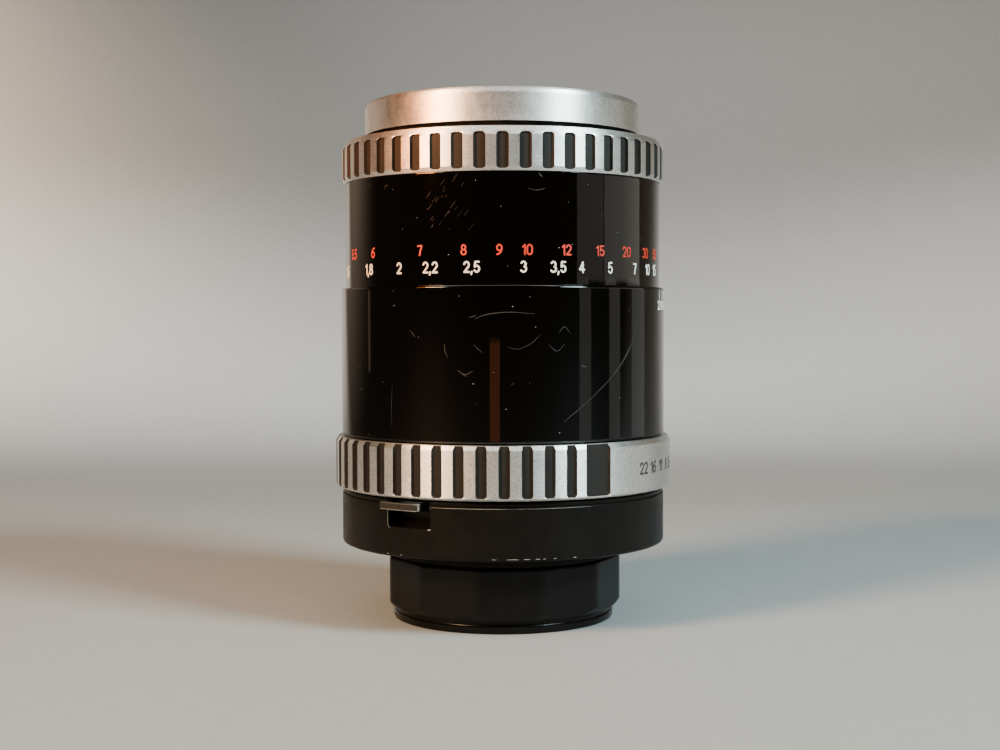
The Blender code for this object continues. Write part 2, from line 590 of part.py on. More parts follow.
def make_iris_cam(carrier):
    cam = add_part("iris_cam_ring", turned(tube(17.0, 24.0, *CAM_Z), INNER_SEGMENTS), "brass",
                   carrier)
    outline = slot_outline(drive_pin_path(6), 0.8)
    for number in range(BLADES):
        turn = Matrix.Rotation(math.tau / BLADES * number, 3, "Z")
        cut(cam, prism([turn @ point for point in outline], CAM_Z[0] - 1, CAM_Z[1] + 1))
    add_part("iris_link_bar", block(DRIVE_ANGLE, *BAR_R, -BAR_HALF_WIDTH, BAR_HALF_WIDTH,
                                    BAR_BOTTOM, CAM_Z[0] - GAP), "steel", carrier)


def main():
    clear_scene()
    fixed = group("fixed_group")
    optics = group("optics_group")
    focus = group("focus_group")
    stops = group("aperture_group")
    focus.parent = optics
    make_rear_cap()
    make_lower_barrel(fixed)
    make_fixed_helicoid(fixed)
    make_focus_keys(fixed)
    make_rear_housing(fixed)
    make_lever_guide(fixed)
    make_mount(fixed)
    make_mount_screws(fixed)
    make_stop_screw(fixed)
    make_click_stop(fixed)
    make_pin_bracket(fixed)
    make_aperture_pin(fixed)
    make_pin_spring(fixed)
    make_rocker(fixed)
    make_auto_manual_lever(fixed)
    make_aperture_ring(stops)
    make_aperture_drive(stops)
    make_focus_ring(focus)
    make_optics_barrel(optics)
    make_glass(optics)
    make_cells(optics)
    make_blades(optics)
    make_iris_frame(optics)
    make_iris_cam(optics)


main()
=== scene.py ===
"""Looks of a telephoto camera lens on its rear cap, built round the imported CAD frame.

Lengths are in millimetres and angles in degrees, unless a comment says otherwise.
"""
import json
import math
import random

import bmesh
import bpy
from mathutils import Matrix, Vector


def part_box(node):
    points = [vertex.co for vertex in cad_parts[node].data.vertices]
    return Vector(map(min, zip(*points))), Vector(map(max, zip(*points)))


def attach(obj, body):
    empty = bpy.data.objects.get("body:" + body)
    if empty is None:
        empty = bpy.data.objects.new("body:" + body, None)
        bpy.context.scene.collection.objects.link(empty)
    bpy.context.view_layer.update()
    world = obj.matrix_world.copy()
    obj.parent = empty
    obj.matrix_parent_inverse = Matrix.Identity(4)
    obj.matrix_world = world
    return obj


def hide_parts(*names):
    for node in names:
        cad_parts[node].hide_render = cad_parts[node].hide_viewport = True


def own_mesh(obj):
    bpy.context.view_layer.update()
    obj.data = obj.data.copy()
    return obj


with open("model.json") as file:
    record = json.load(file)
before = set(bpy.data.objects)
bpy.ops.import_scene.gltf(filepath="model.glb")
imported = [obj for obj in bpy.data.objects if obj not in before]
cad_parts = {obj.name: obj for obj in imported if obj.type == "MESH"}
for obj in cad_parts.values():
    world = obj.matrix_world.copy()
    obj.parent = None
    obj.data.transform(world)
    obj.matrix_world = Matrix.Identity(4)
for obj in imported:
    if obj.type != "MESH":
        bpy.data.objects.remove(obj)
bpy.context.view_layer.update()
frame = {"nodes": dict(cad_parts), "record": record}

MM = 0.001
ROUND = 192  # columns round a plain turned piece
SHARP = 38.0  # a fold of more than this is drawn as a sharp edge
UP = Vector((0, 0, 1))
rng = random.Random(7)


# -------- measures

def extent(node):
    """Outer radius, bottom and top of a node that stands round the axis, in millimetres."""
    low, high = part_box(node)
    return max(high.x, high.y, -low.x, -low.y) / MM, low.z / MM, high.z / MM


def polar(radius, degrees, z=0.0):
    """A point at an angle counted from -Y towards +X, in millimetres."""
    a = math.radians(degrees)
    return Vector((radius * math.sin(a), -radius * math.cos(a), z))


# -------- materials

def material(name, colour, metallic=0.0, roughness=0.5, **sockets):
    """A Principled material; sockets are named with underscores for spaces."""
    mat = bpy.data.materials.new(name)
    mat.use_nodes = True
    shader = mat.node_tree.nodes["Principled BSDF"]
    shader.inputs["Base Color"].default_value = (*colour, 1.0)
    shader.inputs["Metallic"].default_value = metallic
    shader.inputs["Roughness"].default_value = roughness
    for socket, value in sockets.items():
        shader.inputs[socket.replace("_", " ")].default_value = value
    mat.diffuse_color = (*colour, 1.0)
    return mat


def noise(mat, scale, stretch=(1, 1, 1), detail=3.0, rough=0.55):
    """Noise in object space; scale is cells per metre. Returns its Fac socket."""
    tree = mat.node_tree
    coords = tree.nodes.new("ShaderNodeTexCoord")
    mapping = tree.nodes.new("ShaderNodeMapping")
    mapping.inputs["Scale"].default_value = stretch
    texture = tree.nodes.new("ShaderNodeTexNoise")
    texture.inputs["Scale"].default_value = scale
    texture.inputs["Detail"].default_value = detail
    texture.inputs["Roughness"].default_value = rough
    tree.links.new(coords.outputs["Object"], mapping.inputs["Vector"])
    tree.links.new(mapping.outputs["Vector"], texture.inputs["Vector"])
    return texture.outputs["Fac"]


def vary(mat, socket, low, high, fac, cut=(0.35, 0.65)):
    """Maps a noise to a range of one shader socket."""
    tree = mat.node_tree
    ranged = tree.nodes.new("ShaderNodeMapRange")
    ranged.inputs["From Min"].default_value, ranged.inputs["From Max"].default_value = cut
    ranged.inputs["To Min"].default_value = low
    ranged.inputs["To Max"].default_value = high
    tree.links.new(fac, ranged.inputs["Value"])
    tree.links.new(ranged.outputs["Result"],
                   tree.nodes["Principled BSDF"].inputs[socket.replace("_", " ")])


def blotch(mat, colours, fac, cut=(0.35, 0.65)):
    """Mixes the base colour between two colours by a noise."""
    tree = mat.node_tree
    ramp = tree.nodes.new("ShaderNodeValToRGB")
    for element, place, colour in zip(ramp.color_ramp.elements, cut, colours):
        element.position = place
        element.color = (*colour, 1.0)
    tree.links.new(fac, ramp.inputs["Fac"])
    tree.links.new(ramp.outputs["Color"], tree.nodes["Principled BSDF"].inputs["Base Color"])


def relief(mat, *layers):
    """Adds bump from (fac, height in millimetres, strength), one over another."""
    tree = mat.node_tree
    normal = None
    for fac, height, strength in layers:
        bump = tree.nodes.new("ShaderNodeBump")
        bump.inputs["Distance"].default_value = height * MM
        bump.inputs["Strength"].default_value = strength
        tree.links.new(fac, bump.inputs["Height"])
        if normal:
            tree.links.new(normal, bump.inputs["Normal"])
        normal = bump.outputs["Normal"]
    tree.links.new(normal, tree.nodes["Principled BSDF"].inputs["Normal"])


def turned_tangent(mat):
    """Aims the anisotropic highlight along the axis, as turning marks do."""
    tree = mat.node_tree
    tangent = tree.nodes.new("ShaderNodeTangent")
    tangent.direction_type = "RADIAL"
    tangent.axis = "Z"
    tree.links.new(tangent.outputs["Tangent"],
                   tree.nodes["Principled BSDF"].inputs["Tangent"])


def lacquer(name, colour, roughness, smear):
    """Glossy black lacquer with finger smears."""
    mat = material(name, colour, roughness=roughness, IOR=1.5)
    vary(mat, "Roughness", roughness, roughness + smear, noise(mat, 90, (1, 1, 0.5), 5.0),
         (0.5, 0.78))
    relief(mat, (noise(mat, 260, (1, 1, 0.35), 2.0), 0.03, 0.25),
           (noise(mat, 2600, (1, 1, 1), 2.0), 0.004, 0.3))
    return mat


def alloy(name, light, dark, roughness):
    """Bright turned metal with a fine frosted grain."""
    mat = material(name, light, 1.0, roughness, Anisotropic=0.7, Anisotropic_Rotation=0.25)
    blotch(mat, (light, dark), noise(mat, 2600, (1, 1, 1), 2.0, 0.6), (0.38, 0.66))
    vary(mat, "Roughness", roughness - 0.02, roughness + 0.04, noise(mat, 500, (1, 1, 1), 3.0))
    relief(mat, (noise(mat, 400, (0.25, 0.25, 18), 3.0), 0.003, 0.25),
           (noise(mat, 3200, (1, 1, 1), 2.0), 0.002, 0.3))
    turned_tangent(mat)
    return mat


def machined(name, colour, roughness):
    """Plain metal with tool marks."""
    mat = material(name, colour, 1.0, roughness)
    shade = tuple(c * 0.8 for c in colour)
    blotch(mat, (colour, shade), noise(mat, 500, (1, 1, 3), 4.0))
    relief(mat, (noise(mat, 500, (0.3, 0.3, 14), 3.0), 0.012, 0.35))
    return mat


def paint(name, colour, other, roughness, spread=0.1, height=0.015, gloss=0.5):
    """Paint or plastic between two colours. spread is the range of the roughness, height the
    depth of its grain and gloss its specular level."""
    mat = material(name, colour, roughness=roughness, Specular_IOR_Level=gloss)
    blotch(mat, (colour, other), noise(mat, 320, (1, 1, 1), 5.0))
    vary(mat, "Roughness", roughness - spread / 2, roughness + spread / 2,
         noise(mat, 180, (1, 1, 1), 4.0))
    relief(mat, (noise(mat, 2800, (1, 1, 1), 3.0), height, 0.35))
    return mat


GLOSS = lacquer("black_lacquer", (0.0010, 0.0008, 0.0006), 0.03, 0.07)
SATIN = paint("satin_lacquer", (0.0035, 0.003, 0.0025), (0.0055, 0.0045, 0.0036), 0.36, 0.1,
              0.008, 0.13)
GROOVE = paint("groove_black", (0.004, 0.0035, 0.003), (0.006, 0.005, 0.004), 0.55, 0.1, 0.015,
               0.12)
FLOCK = paint("inner_black", (0.008, 0.008, 0.008), (0.014, 0.013, 0.012), 0.85, 0.1, 0.03, 0.0)
BRIGHT = alloy("satin_aluminium", (0.90, 0.89, 0.86), (0.66, 0.65, 0.62), 0.43)
EDGE = machined("bare_metal_edge", (0.85, 0.81, 0.72), 0.28)
INNER = machined("machined_alloy", (0.62, 0.62, 0.61), 0.3)
BRASS = machined("helicoid_brass", (0.72, 0.5, 0.22), 0.32)
STEEL = machined("plain_steel", (0.56, 0.56, 0.57), 0.28)
BLADE = machined("blade_steel", (0.06, 0.062, 0.07), 0.42)
FLUTE = paint("flute_paint", (0.0095, 0.0078, 0.0064), (0.013, 0.010, 0.008), 0.6, 0.1, 0.015,
              0.25)
CAP = paint("cap_plastic", (0.003, 0.0028, 0.0025), (0.0045, 0.004, 0.0035), 0.2, 0.06, 0.006,
            0.14)
RIM = paint("cap_rim_plastic", (0.0028, 0.0025, 0.0022), (0.004, 0.0035, 0.003), 0.24, 0.06,
            0.004, 0.15)
WHITE = paint("white_filling", (0.86, 0.84, 0.76), (0.72, 0.70, 0.62), 0.5)
RED = paint("red_filling", (0.60, 0.032, 0.008), (0.5, 0.025, 0.007), 0.5)
BLACK = paint("black_filling", (0.02, 0.018, 0.016), (0.035, 0.03, 0.028), 0.45)
SCRATCH = paint("scratched_lacquer", (0.036, 0.033, 0.03), (0.008, 0.007, 0.006), 0.5)
LEVER = paint("lever_black", (0.016, 0.013, 0.010), (0.024, 0.019, 0.015), 0.3)
DUST = paint("dust", (0.55, 0.53, 0.5), (0.4, 0.38, 0.36), 0.8)


def glass(name, tint, sheen):
    """Coated glass with faint smears; sheen is the colour of its coating."""
    mat = material(name, tint, roughness=0.0, IOR=1.6, Transmission_Weight=1.0,
                   Specular_Tint=(*sheen, 1.0))
    vary(mat, "Roughness", 0.0, 0.05, noise(mat, 140, (1, 1, 1), 5.0), (0.6, 0.85))
    return mat


FINISH = {
    "gloss_black": GLOSS, "satin_black": SATIN, "flock_black": FLOCK, "bright_alloy": BRIGHT,
    "inner_alloy": INNER, "brass": BRASS, "steel": STEEL, "blade_steel": BLADE,
    "coated_glass": glass("coated_glass", (0.93, 0.93, 0.98), (0.62, 0.42, 1.0)),
    "clear_glass": glass("clear_glass", (0.97, 0.99, 0.98), (0.85, 0.8, 1.0)),
    "cap_plastic": CAP, "white_marking": WHITE, "red_marking": RED, "black_marking": BLACK,
}


# -------- mesh building

def piece(name, body, slot, points, faces, mats, indices=None, sharp=SHARP):
    """Makes one smooth-shaded object from points and puts it on a body."""
    mesh = bpy.data.meshes.new(name)
    mesh.from_pydata([tuple(p * MM for p in v) for v in points], [], faces)
    for mat in mats:
        mesh.materials.append(mat)
    if indices:
        mesh.polygons.foreach_set("material_index", indices)
    tidy_mesh(mesh, sharp)
    obj = bpy.data.objects.new(name, mesh)
    bpy.context.scene.collection.objects.link(obj)
    if body:
        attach(obj, body)
    return obj


def tidy_mesh(mesh, sharp):
    """Welds doubles, turns the faces outwards and marks the sharp edges."""
    bm = bmesh.new()
    bm.from_mesh(mesh)
    bmesh.ops.remove_doubles(bm, verts=bm.verts, dist=1e-7)
    bmesh.ops.dissolve_degenerate(bm, edges=bm.edges, dist=1e-7)
    bmesh.ops.recalc_face_normals(bm, faces=bm.faces)
    bm.to_mesh(mesh)
    bm.free()
    mesh.polygons.foreach_set("use_smooth", [True] * len(mesh.polygons))
    mesh.set_sharp_from_angle(angle=math.radians(sharp))
    mesh.update()


def soften(profile, radius, steps=3, closed=True):
    """Rounds every corner of a profile with a small arc."""
    result = []
    count = len(profile)
    for i, here in enumerate(profile):
        if not closed and i in (0, count - 1):
            result.append(here)
            continue
        p = Vector(here)
        to_last = Vector(profile[i - 1]) - p
        to_next = Vector(profile[(i + 1) % count]) - p
        if to_last.length < 1e-6 or to_next.length < 1e-6:
            continue
        half = to_last.angle(to_next) / 2
        if half > math.radians(88):
            result.append(here)
            continue
        reach = min(radius / math.tan(half), to_last.length * 0.45, to_next.length * 0.45)
        a, b = p + to_last.normalized() * reach, p + to_next.normalized() * reach
        for k in range(steps + 1):
            t = k / steps
            q = a * (1 - t) ** 2 + p * 2 * t * (1 - t) + b * t * t
            result.append((q.x, q.y))
    return guard(result, closed)


def guard(profile, closed=True, inset=0.2):
    """Adds a point near each end of the long straight runs, so that shading stays flat there."""
    result = []
    for i, here in enumerate(profile):
        result.append(here)
        if i == len(profile) - 1 and not closed:
            break
        run = Vector(profile[(i + 1) % len(profile)]) - Vector(here)
        if run.length > 6 * inset:
            for part in (inset / run.length, 1 - inset / run.length):
                q = Vector(here) + run * part
                result.append((q.x, q.y))
    return result


def revolve(name, body, slot, columns, mats, pick=None, sharp=SHARP):
    """Joins columns of (radius, angle, height) into a closed skin round the axis.
    pick(column, row) says which material a face takes."""
    rows = len(columns[0])
    points = [polar(*p) for column in columns for p in column]
    faces, indices = [], []
    for c in range(len(columns)):
        d = (c + 1) % len(columns)
        for i in range(rows):
            j = (i + 1) % rows
            if columns[c][i][0] < 1e-6 and columns[c][j][0] < 1e-6:
                continue
            faces.append((c * rows + i, c * rows + j, d * rows + j, d * rows + i))
            indices.append(pick(c, i) if pick else 0)
    return piece(name, body, slot, points, faces, mats, indices, sharp)


def turn(name, body, slot, profile, mats, round_off, count=ROUND, pick=None):
    """A plain turned piece with softened corners. pick(radius, height) chooses a material."""
    shape = soften(profile, round_off)
    middle = [((a[0] + b[0]) / 2, (a[1] + b[1]) / 2)
              for a, b in zip(shape, shape[1:] + shape[:1])]
    chooser = (lambda c, i: pick(*middle[i])) if pick else None
    columns = [[(r, 360.0 * k / count, z) for r, z in shape] for k in range(count)]
    return revolve(name, body, slot, columns, mats, chooser)


def thread(radius, depth, low, high, pitch):
    """Zigzag profile points up a wall, from the radius out by depth and back at each pitch."""
    points = [(radius, low)]
    count = int((high - low) / pitch)
    for k in range(count):
        z = low + k * pitch
        points += [(radius, z + 0.12 * pitch), (radius + depth, z + 0.44 * pitch),
                   (radius + depth, z + 0.56 * pitch), (radius, z + 0.88 * pitch)]
    return points + [(radius, high)]


def carve(obj, *cutters):
    """Cuts closed meshes out of an object and leaves a plain mesh."""
    for cutter in cutters:
        modifier = obj.modifiers.new("cut", "BOOLEAN")
        modifier.operation = "DIFFERENCE"
        modifier.solver = "EXACT"
        modifier.object = cutter
    bpy.context.view_layer.update()
    cut = bpy.data.meshes.new_from_object(
        obj.evaluated_get(bpy.context.evaluated_depsgraph_get()))
    obj.modifiers.clear()
    old = obj.data
    obj.data = cut
    bpy.data.meshes.remove(old)
    for cutter in cutters:
        bpy.data.objects.remove(cutter)
    tidy_mesh(obj.data, SHARP)


def block(name, body, slot, inner, outer, start, end, low, high, mats, corner=0.0):
    """A block bent round the axis between two angles. corner rounds its two lower corners."""
    steps = 24
    span = math.radians(end - start) * outer
    across = [span * k / steps for k in range(steps + 1)]
    if corner:
        curve = [corner * (1 - math.cos(math.radians(15 * k))) for k in range(7)]
        middle = [corner + (span - 2 * corner) * k / steps for k in range(1, steps)]
        across = curve + middle + [span - x for x in reversed(curve)]
    points = []
    for s in across:
        inset = corner - min(corner, s, span - s)
        foot = low + corner - math.sqrt(max(0.0, corner ** 2 - inset ** 2))
        for z in (foot, high):
            points += [polar(r, start + math.degrees(s / outer), z) for r in (inner, outer)]
    faces = [(0, 1, 3, 2), tuple(len(points) - k for k in (4, 2, 1, 3))]
    for k in range(0, len(points) - 4, 4):
        faces += [(k, k + 4, k + 5, k + 1), (k + 2, k + 3, k + 7, k + 6),
                  (k + 1, k + 5, k + 7, k + 3), (k, k + 2, k + 6, k + 4)]
    return piece(name, body, slot, points, faces, mats)


def rod(centre, direction, radius, length):
    """A plain cutter cylinder, centred on a point."""
    count = 32
    axis = direction.normalized()
    side = axis.orthogonal().normalized()
    other = axis.cross(side)
    points = []
    for end in (-0.5, 0.5):
        for k in range(count):
            a = 2 * math.pi * k / count
            points.append(centre + axis * (end * length)
                          + (side * math.cos(a) + other * math.sin(a)) * radius)
    faces = [tuple(range(count)), tuple(range(2 * count - 1, count - 1, -1))]
    faces += [(i, (i + 1) % count, (i + 1) % count + count, i + count) for i in range(count)]
    return piece("cutter", None, None, points, faces, [])


# -------- strokes on a cylinder

def bow(cx, cy, rx, ry, start, end, steps=12):
    """Points along part of an ellipse."""
    return [(cx + rx * math.cos(math.radians(start + (end - start) * k / steps)),
             cy + ry * math.sin(math.radians(start + (end - start) * k / steps)))
            for k in range(steps + 1)]


# Each figure is its width and its strokes, in a box one unit high.
SIX = [bow(.25, .33, .25, .25, 0, 360, 20), bow(.56, .36, .56, .56, 98, 180, 8)]
GLYPHS = {
    "0": (0.5, [bow(.25, .67, .25, .25, 0, 180) + bow(.25, .33, .25, .25, 180, 360)
                + [(0.5, 0.67)]]),
    "1": (0.2, [[(0.0, 0.74), (0.2, 0.92)], [(0.2, 0.92), (0.2, 0.08)]]),
    "2": (0.5, [bow(.25, .67, .24, .25, 165, -38) + [(0.03, 0.08)], [(0.03, 0.08), (0.5, 0.08)]]),
    "3": (0.5, [bow(.24, .70, .22, .22, 150, -75) + bow(.24, .31, .26, .23, 75, -150)]),
    "4": (0.5, [[(0.36, 0.08), (0.36, 0.92)], [(0.36, 0.92), (0.0, 0.30)],
                [(0.0, 0.30), (0.5, 0.30)]]),
    "5": (0.48, [[(0.45, 0.92), (0.09, 0.92)], [(0.09, 0.92), (0.05, 0.5)],
                 bow(.24, .34, .24, .26, 138, -150, 18)]),
    "6": (0.5, SIX),
    "7": (0.48, [[(0.0, 0.92), (0.48, 0.92)], [(0.48, 0.92), (0.3, 0.5), (0.2, 0.08)]]),
    "8": (0.5, [bow(.25, .715, .2, .205, 0, 360, 18), bow(.25, .30, .25, .22, 0, 360, 18)]),
    "9": (0.5, [[(0.5 - x, 1.0 - y) for x, y in stroke] for stroke in SIX]),
    ",": (0.04, [[(0.04, 0.10), (-0.02, -0.10)]]),
    ".": (0.02, [[(0.01, 0.07), (0.01, 0.11)]]),
    "o": (1.0, [bow(.24, .4, .22, .22, 0, 360, 16), bow(.72, .4, .22, .22, 0, 360, 16)]),
}


def ribbon(path, half, closed=False, taper=False):
    """Rows of (left, right) points of a flat line with round ends."""
    path = [Vector(p) for p in path]
    count = len(path)
    rows = []
    for i, p in enumerate(path):
        d = Vector((0, 0))
        if i or closed:
            d += (p - path[i - 1]).normalized()
        if i < count - 1 or closed:
            d += (path[(i + 1) % count] - p).normalized()
        d.normalize()
        width = half
        if taper:
            width = half * (0.35 + 0.65 * math.sin(math.pi * i / (count - 1)))
        rows.append((p, d, width))
    if not closed:
        head, tail = [], []
        for angle in (78, 52, 26):
            a = math.radians(angle)
            p, d, w = rows[0]
            head.append((p - d * w * math.sin(a), d, w * math.cos(a)))
            p, d, w = rows[-1]
            tail.insert(0, (p + d * w * math.sin(a), d, w * math.cos(a)))
        rows = head + rows + tail
    sides = []
    for p, d, w in rows:
        n = Vector((-d.y, d.x)) * w
        sides.append((p + n, p - n))
    return sides


def strokes(name, body, slot, mat, lines, proud=0.015, sunk=0.05):
    """Raised lines on cylinders, each (radius, [(angle, height)], half width, closed, taper)."""
    points, faces = [], []
    for radius, path, half, closed, taper in lines:
        flat = [(math.radians(a) * radius, z) for a, z in path]
        if closed and (Vector(flat[0]) - Vector(flat[-1])).length < 1e-6:
            flat = flat[:-1]
        rows = ribbon(flat, half, closed, taper)
        start = len(points)
        for left, right in rows:
            for side in (left, right):
                for r in (radius + proud, radius - sunk):
                    points.append(polar(r, math.degrees(side.x / radius), side.y))
        n = len(rows)
        for i in range(n if closed else n - 1):
            a, b = start + 4 * i, start + 4 * ((i + 1) % n)
            faces += [(a, a + 2, b + 2, b), (a + 1, b + 1, b + 3, a + 3),
                      (a, b, b + 1, a + 1), (a + 2, a + 3, b + 3, b + 2)]
        if not closed:
            a, b = start, start + 4 * (n - 1)
            faces += [(a, a + 1, a + 3, a + 2), (b, b + 2, b + 3, b + 1)]
    piece(name, body, slot, points, faces, [mat])


NARROW = 0.86  # how narrow the figures are against their drawing above
SPACE = 0.24  # between two figures, before narrowing


def text_width(text, height):
    """Length of a number along the cylinder."""
    return (sum(GLYPHS[c][0] + SPACE for c in text) - SPACE) * height * NARROW


def write(text, radius, angle, height, size, weight=0.076):
    """The lines of a number centred on an angle and a height."""
    lines = []
    s = -text_width(text, size) / 2
    for character in text:
        advance, paths = GLYPHS[character]
        for path in paths:
            loop = (Vector(path[0]) - Vector(path[-1])).length < 1e-3 and len(path) > 8
            placed = [(angle + math.degrees((s + x * size * NARROW) / radius),
                       height + (y - 0.5) * size) for x, y in path]
            lines.append((radius, placed, weight * size, loop, False))
        s += (advance + SPACE) * size * NARROW
    return lines


# -------- fluted rings

def sampled(profile, z):
    """Radius of an outer profile, given from the bottom up, at a height."""
    for (r0, z0), (r1, z1) in zip(profile, profile[1:]):
        if z <= z1:
            t = 0.0 if z1 - z0 < 1e-9 else min(1.0, max(0.0, (z - z0) / (z1 - z0)))
            return r0 + (r1 - r0) * t
    return profile[-1][0]


def fluted(name, body, outside, inside, flutes, low, high, floor, mats):
    """A ring with milled, painted flutes. outside runs up the outer face, inside down the inner
    one. Each flute is (centre angle, half width); low and high are its ends, floor its radius."""
    wall, corner, bevel = 0.28, 0.42, 0.11  # width of a flute's sides, its corners, its lip
    plain = 99.0  # marks a column between two flutes
    outside = soften(outside, 0.1, 3, closed=False)
    biggest = max(r for r, z in outside)
    slope = (biggest - floor) / wall
    ends = [k * corner / 4 for k in range(5)] + [-wall * 0.5, -wall, -wall - bevel]
    heights = sorted({round(z, 4) for r, z in outside}
                     | {round(low + e, 4) for e in ends} | {round(high - e, 4) for e in ends})
    heights = [z for z in heights if outside[0][1] <= z <= outside[-1][1]]

    def distance(s, z, half):
        """How far a point of the skin is outside a flute's floor, negative inside."""
        q = Vector((abs(s) - half + corner,
                    abs(z - (low + high) / 2) - (high - low) / 2 + corner))
        return (Vector((max(q.x, 0), max(q.y, 0))).length + min(max(q.x, q.y), 0.0) - corner)

    def radius_at(s, z, half):
        """Radius of the floor, the sloped side, the lip or the plain skin at a point."""
        skin = sampled(outside, z)
        d = distance(s, z, half)
        if d * slope >= skin - floor:
            edge = (skin - floor) / slope
            return skin - 0.05 * max(0.0, 1 - (d - edge) / bevel) ** 2
        return floor + max(0.0, d) * slope

    def spread(z, half, share, extra):
        """Half width of the flute at a height, at a share of its depth."""
        level = share * (sampled(outside, z) - floor) / slope + extra
        drop = max(0.0, low + corner - z, z - high + corner)
        return half - corner + math.sqrt(max(0.0, (corner + level) ** 2 - drop ** 2))

    columns, marks = [], []
    levels = ((1, bevel), (1, 0), (0.5, 0), (0, 0))
    flutes = sorted(flutes)
    for k, (centre, full) in enumerate(flutes):
        half = full - wall
        places = [(-1, level) for level in levels] + [(0, f) for f in (-0.6, 0, 0.6)]
        places += [(1, level) for level in reversed(levels)]
        for side, value in places:
            column = []
            for z in heights:
                if side:
                    s = side * spread(z, half, *value)
                else:
                    s = value * spread(z, half, 0, 0)
                column.append((radius_at(s, z, half), centre + math.degrees(s / biggest), z, s))
            columns.append(column)
            marks.append(half)
        after, after_full = flutes[(k + 1) % len(flutes)]
        start = centre + math.degrees((full + bevel) / biggest)
        end = after - math.degrees((after_full + bevel) / biggest)
        end += 360 if end < start else 0
        count = max(2, int((end - start) / 1.4))
        for j in range(1, count + 1):
            angle = start + (end - start) * j / (count + 1)
            columns.append([(sampled(outside, z), angle, z, plain) for z in heights])
            marks.append(None)
    last = len(heights) - 1

    def pick(c, i):
        """1 for a face that lies in a flute, else 0."""
        here, there = columns[c], columns[(c + 1) % len(columns)]
        half = marks[c]
        if half is None or i >= last or there[i][3] == plain:
            return 0
        s = (here[i][3] + there[i][3] + here[i + 1][3] + there[i + 1][3]) / 4
        z = (heights[i] + heights[i + 1]) / 2
        return int(distance(s, z, half) * slope < sampled(outside, z) - floor)

    full_columns = [[(r, a, z) for r, a, z, s in column]
                    + [(r, column[len(column) // 2][1], z) for r, z in inside]
                    for column in columns]
    return revolve(name, body, "bright_alloy", full_columns, mats, pick)


# -------- outer pieces

R, B, T = extent("focus_grip")
grip_flutes = [(7.5 * k, math.radians(2.02) * R) for k in range(48)]
grip = fluted(
    "focus_grip_ring", "focus_ring",
    [(R - 0.5, B), (R, B + 0.8), (R, T - 1.63), (R - 0.7, T)],
    soften([(R - 0.7, T), (R - 4.4, T), (R - 4.4, T - 1.23), (R - 1.9, T - 1.23), (R - 1.9, B),
            (R - 0.5, B)], 0.1, 2, closed=False)[1:-1],
    grip_flutes, B + 0.5, T - 1.25, R - 0.55, [BRIGHT, FLUTE])
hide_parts("focus_grip")

R, B, T = extent("aperture_ring")
stop_flutes = [(21.9 - 7.2 * k, math.radians(1.8) * R) for k in range(39)]
stop_flutes.append((31.575, math.radians(4.625) * R))  # the wide one before the numbers
stop_ring = fluted(
    "stop_ring_shell", "stop_ring",
    [(R - 0.5, B), (R, B + 0.5), (R, T - 0.8), (R - 0.5, T)],
    soften([(R - 0.5, T), (R - 2.7, T), (R - 2.7, B), (R - 0.5, B)], 0.1, 2, closed=False)[1:-1],
    stop_flutes, B + 0.7, T + 3.0, R - 0.55, [BRIGHT, FLUTE])
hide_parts("aperture_ring")

R, B, T = extent("lower_barrel")
barrel = turn("lower_barrel_shell", "lens_body", "gloss_black", [
    (R - 3.5, B), (R - 1.8, B), (R - 1.8, B + 10.6), (R - 0.3, B + 10.6), (R, B + 10.9),
    (R, T - 0.45), (R - 0.15, T - 0.1), (R - 0.6, T), (R - 0.6, T - 17.5), (R - 1.8, T - 17.5),
    (R - 1.8, B + 12.6), (R - 3.5, B + 12.6)], [GLOSS, FLOCK], 0.2,
    pick=lambda r, z: int(r < R - 0.7))
carve(barrel,
      block("cutter", None, None, R - 4.2, R - 1.0, 140.3, 184.9, B + 3.8, B + 6.4, []),
      rod(polar(R - 2.5, -60, B + 8.5), polar(1, -60), 1.1, 4.0),
      rod(polar(R, 180, B + 18.1), polar(1, 180), 1.7, 5.0))
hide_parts("lower_barrel")

R, B, T = extent("scale_sleeve")
sleeve = turn("scale_sleeve_shell", "focus_ring", "gloss_black", [
    (R - 1.15, B), (R - 0.1, B), (R, B + 0.2), (R, T + 0.1), (R - 0.1, T + 0.17),
    (R - 1.15, T + 0.17)],
    [GLOSS, FLOCK], 0.08, pick=lambda r, z: int(r < R - 0.9))
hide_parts("scale_sleeve")

R, B, T = extent("rear_housing")
HOUSING_R, HOUSING_B, WALL_TOP = R, B, T - 0.9
NOTCH_FROM, NOTCH_TO, NOTCH_B = -41.8, -24.5, B + 5.73
housing = turn("rear_housing_shell", "lens_body", "satin_black", [
    (R - 10.9, B), (R - 0.6, B), (R - 0.15, B + 0.23), (R, B + 0.63), (R, T - 0.9),
    (R - 0.45, T - 0.87), (R - 0.45, T - 0.68), (R - 0.2, T - 0.64), (R - 0.2, T),
    (R - 1.7, T), (R - 1.7, T - 8.9), (R - 10.9, T - 8.9)], [SATIN, GROOVE, FLOCK], 0.12,
    pick=lambda r, z: 1 if T - 0.9 < z < T - 0.66 else 2 * int(r < R - 1.6 and z > B + 0.5))
carve(housing,
      block("cutter", None, None, R - 2.4, R + 1.4, NOTCH_FROM, NOTCH_TO, NOTCH_B, T + 2, [],
            0.55),
      *[rod(polar(28, a, B), UP, 1.8, 8.0) for a in (30, 150, 270)])
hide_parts("rear_housing")

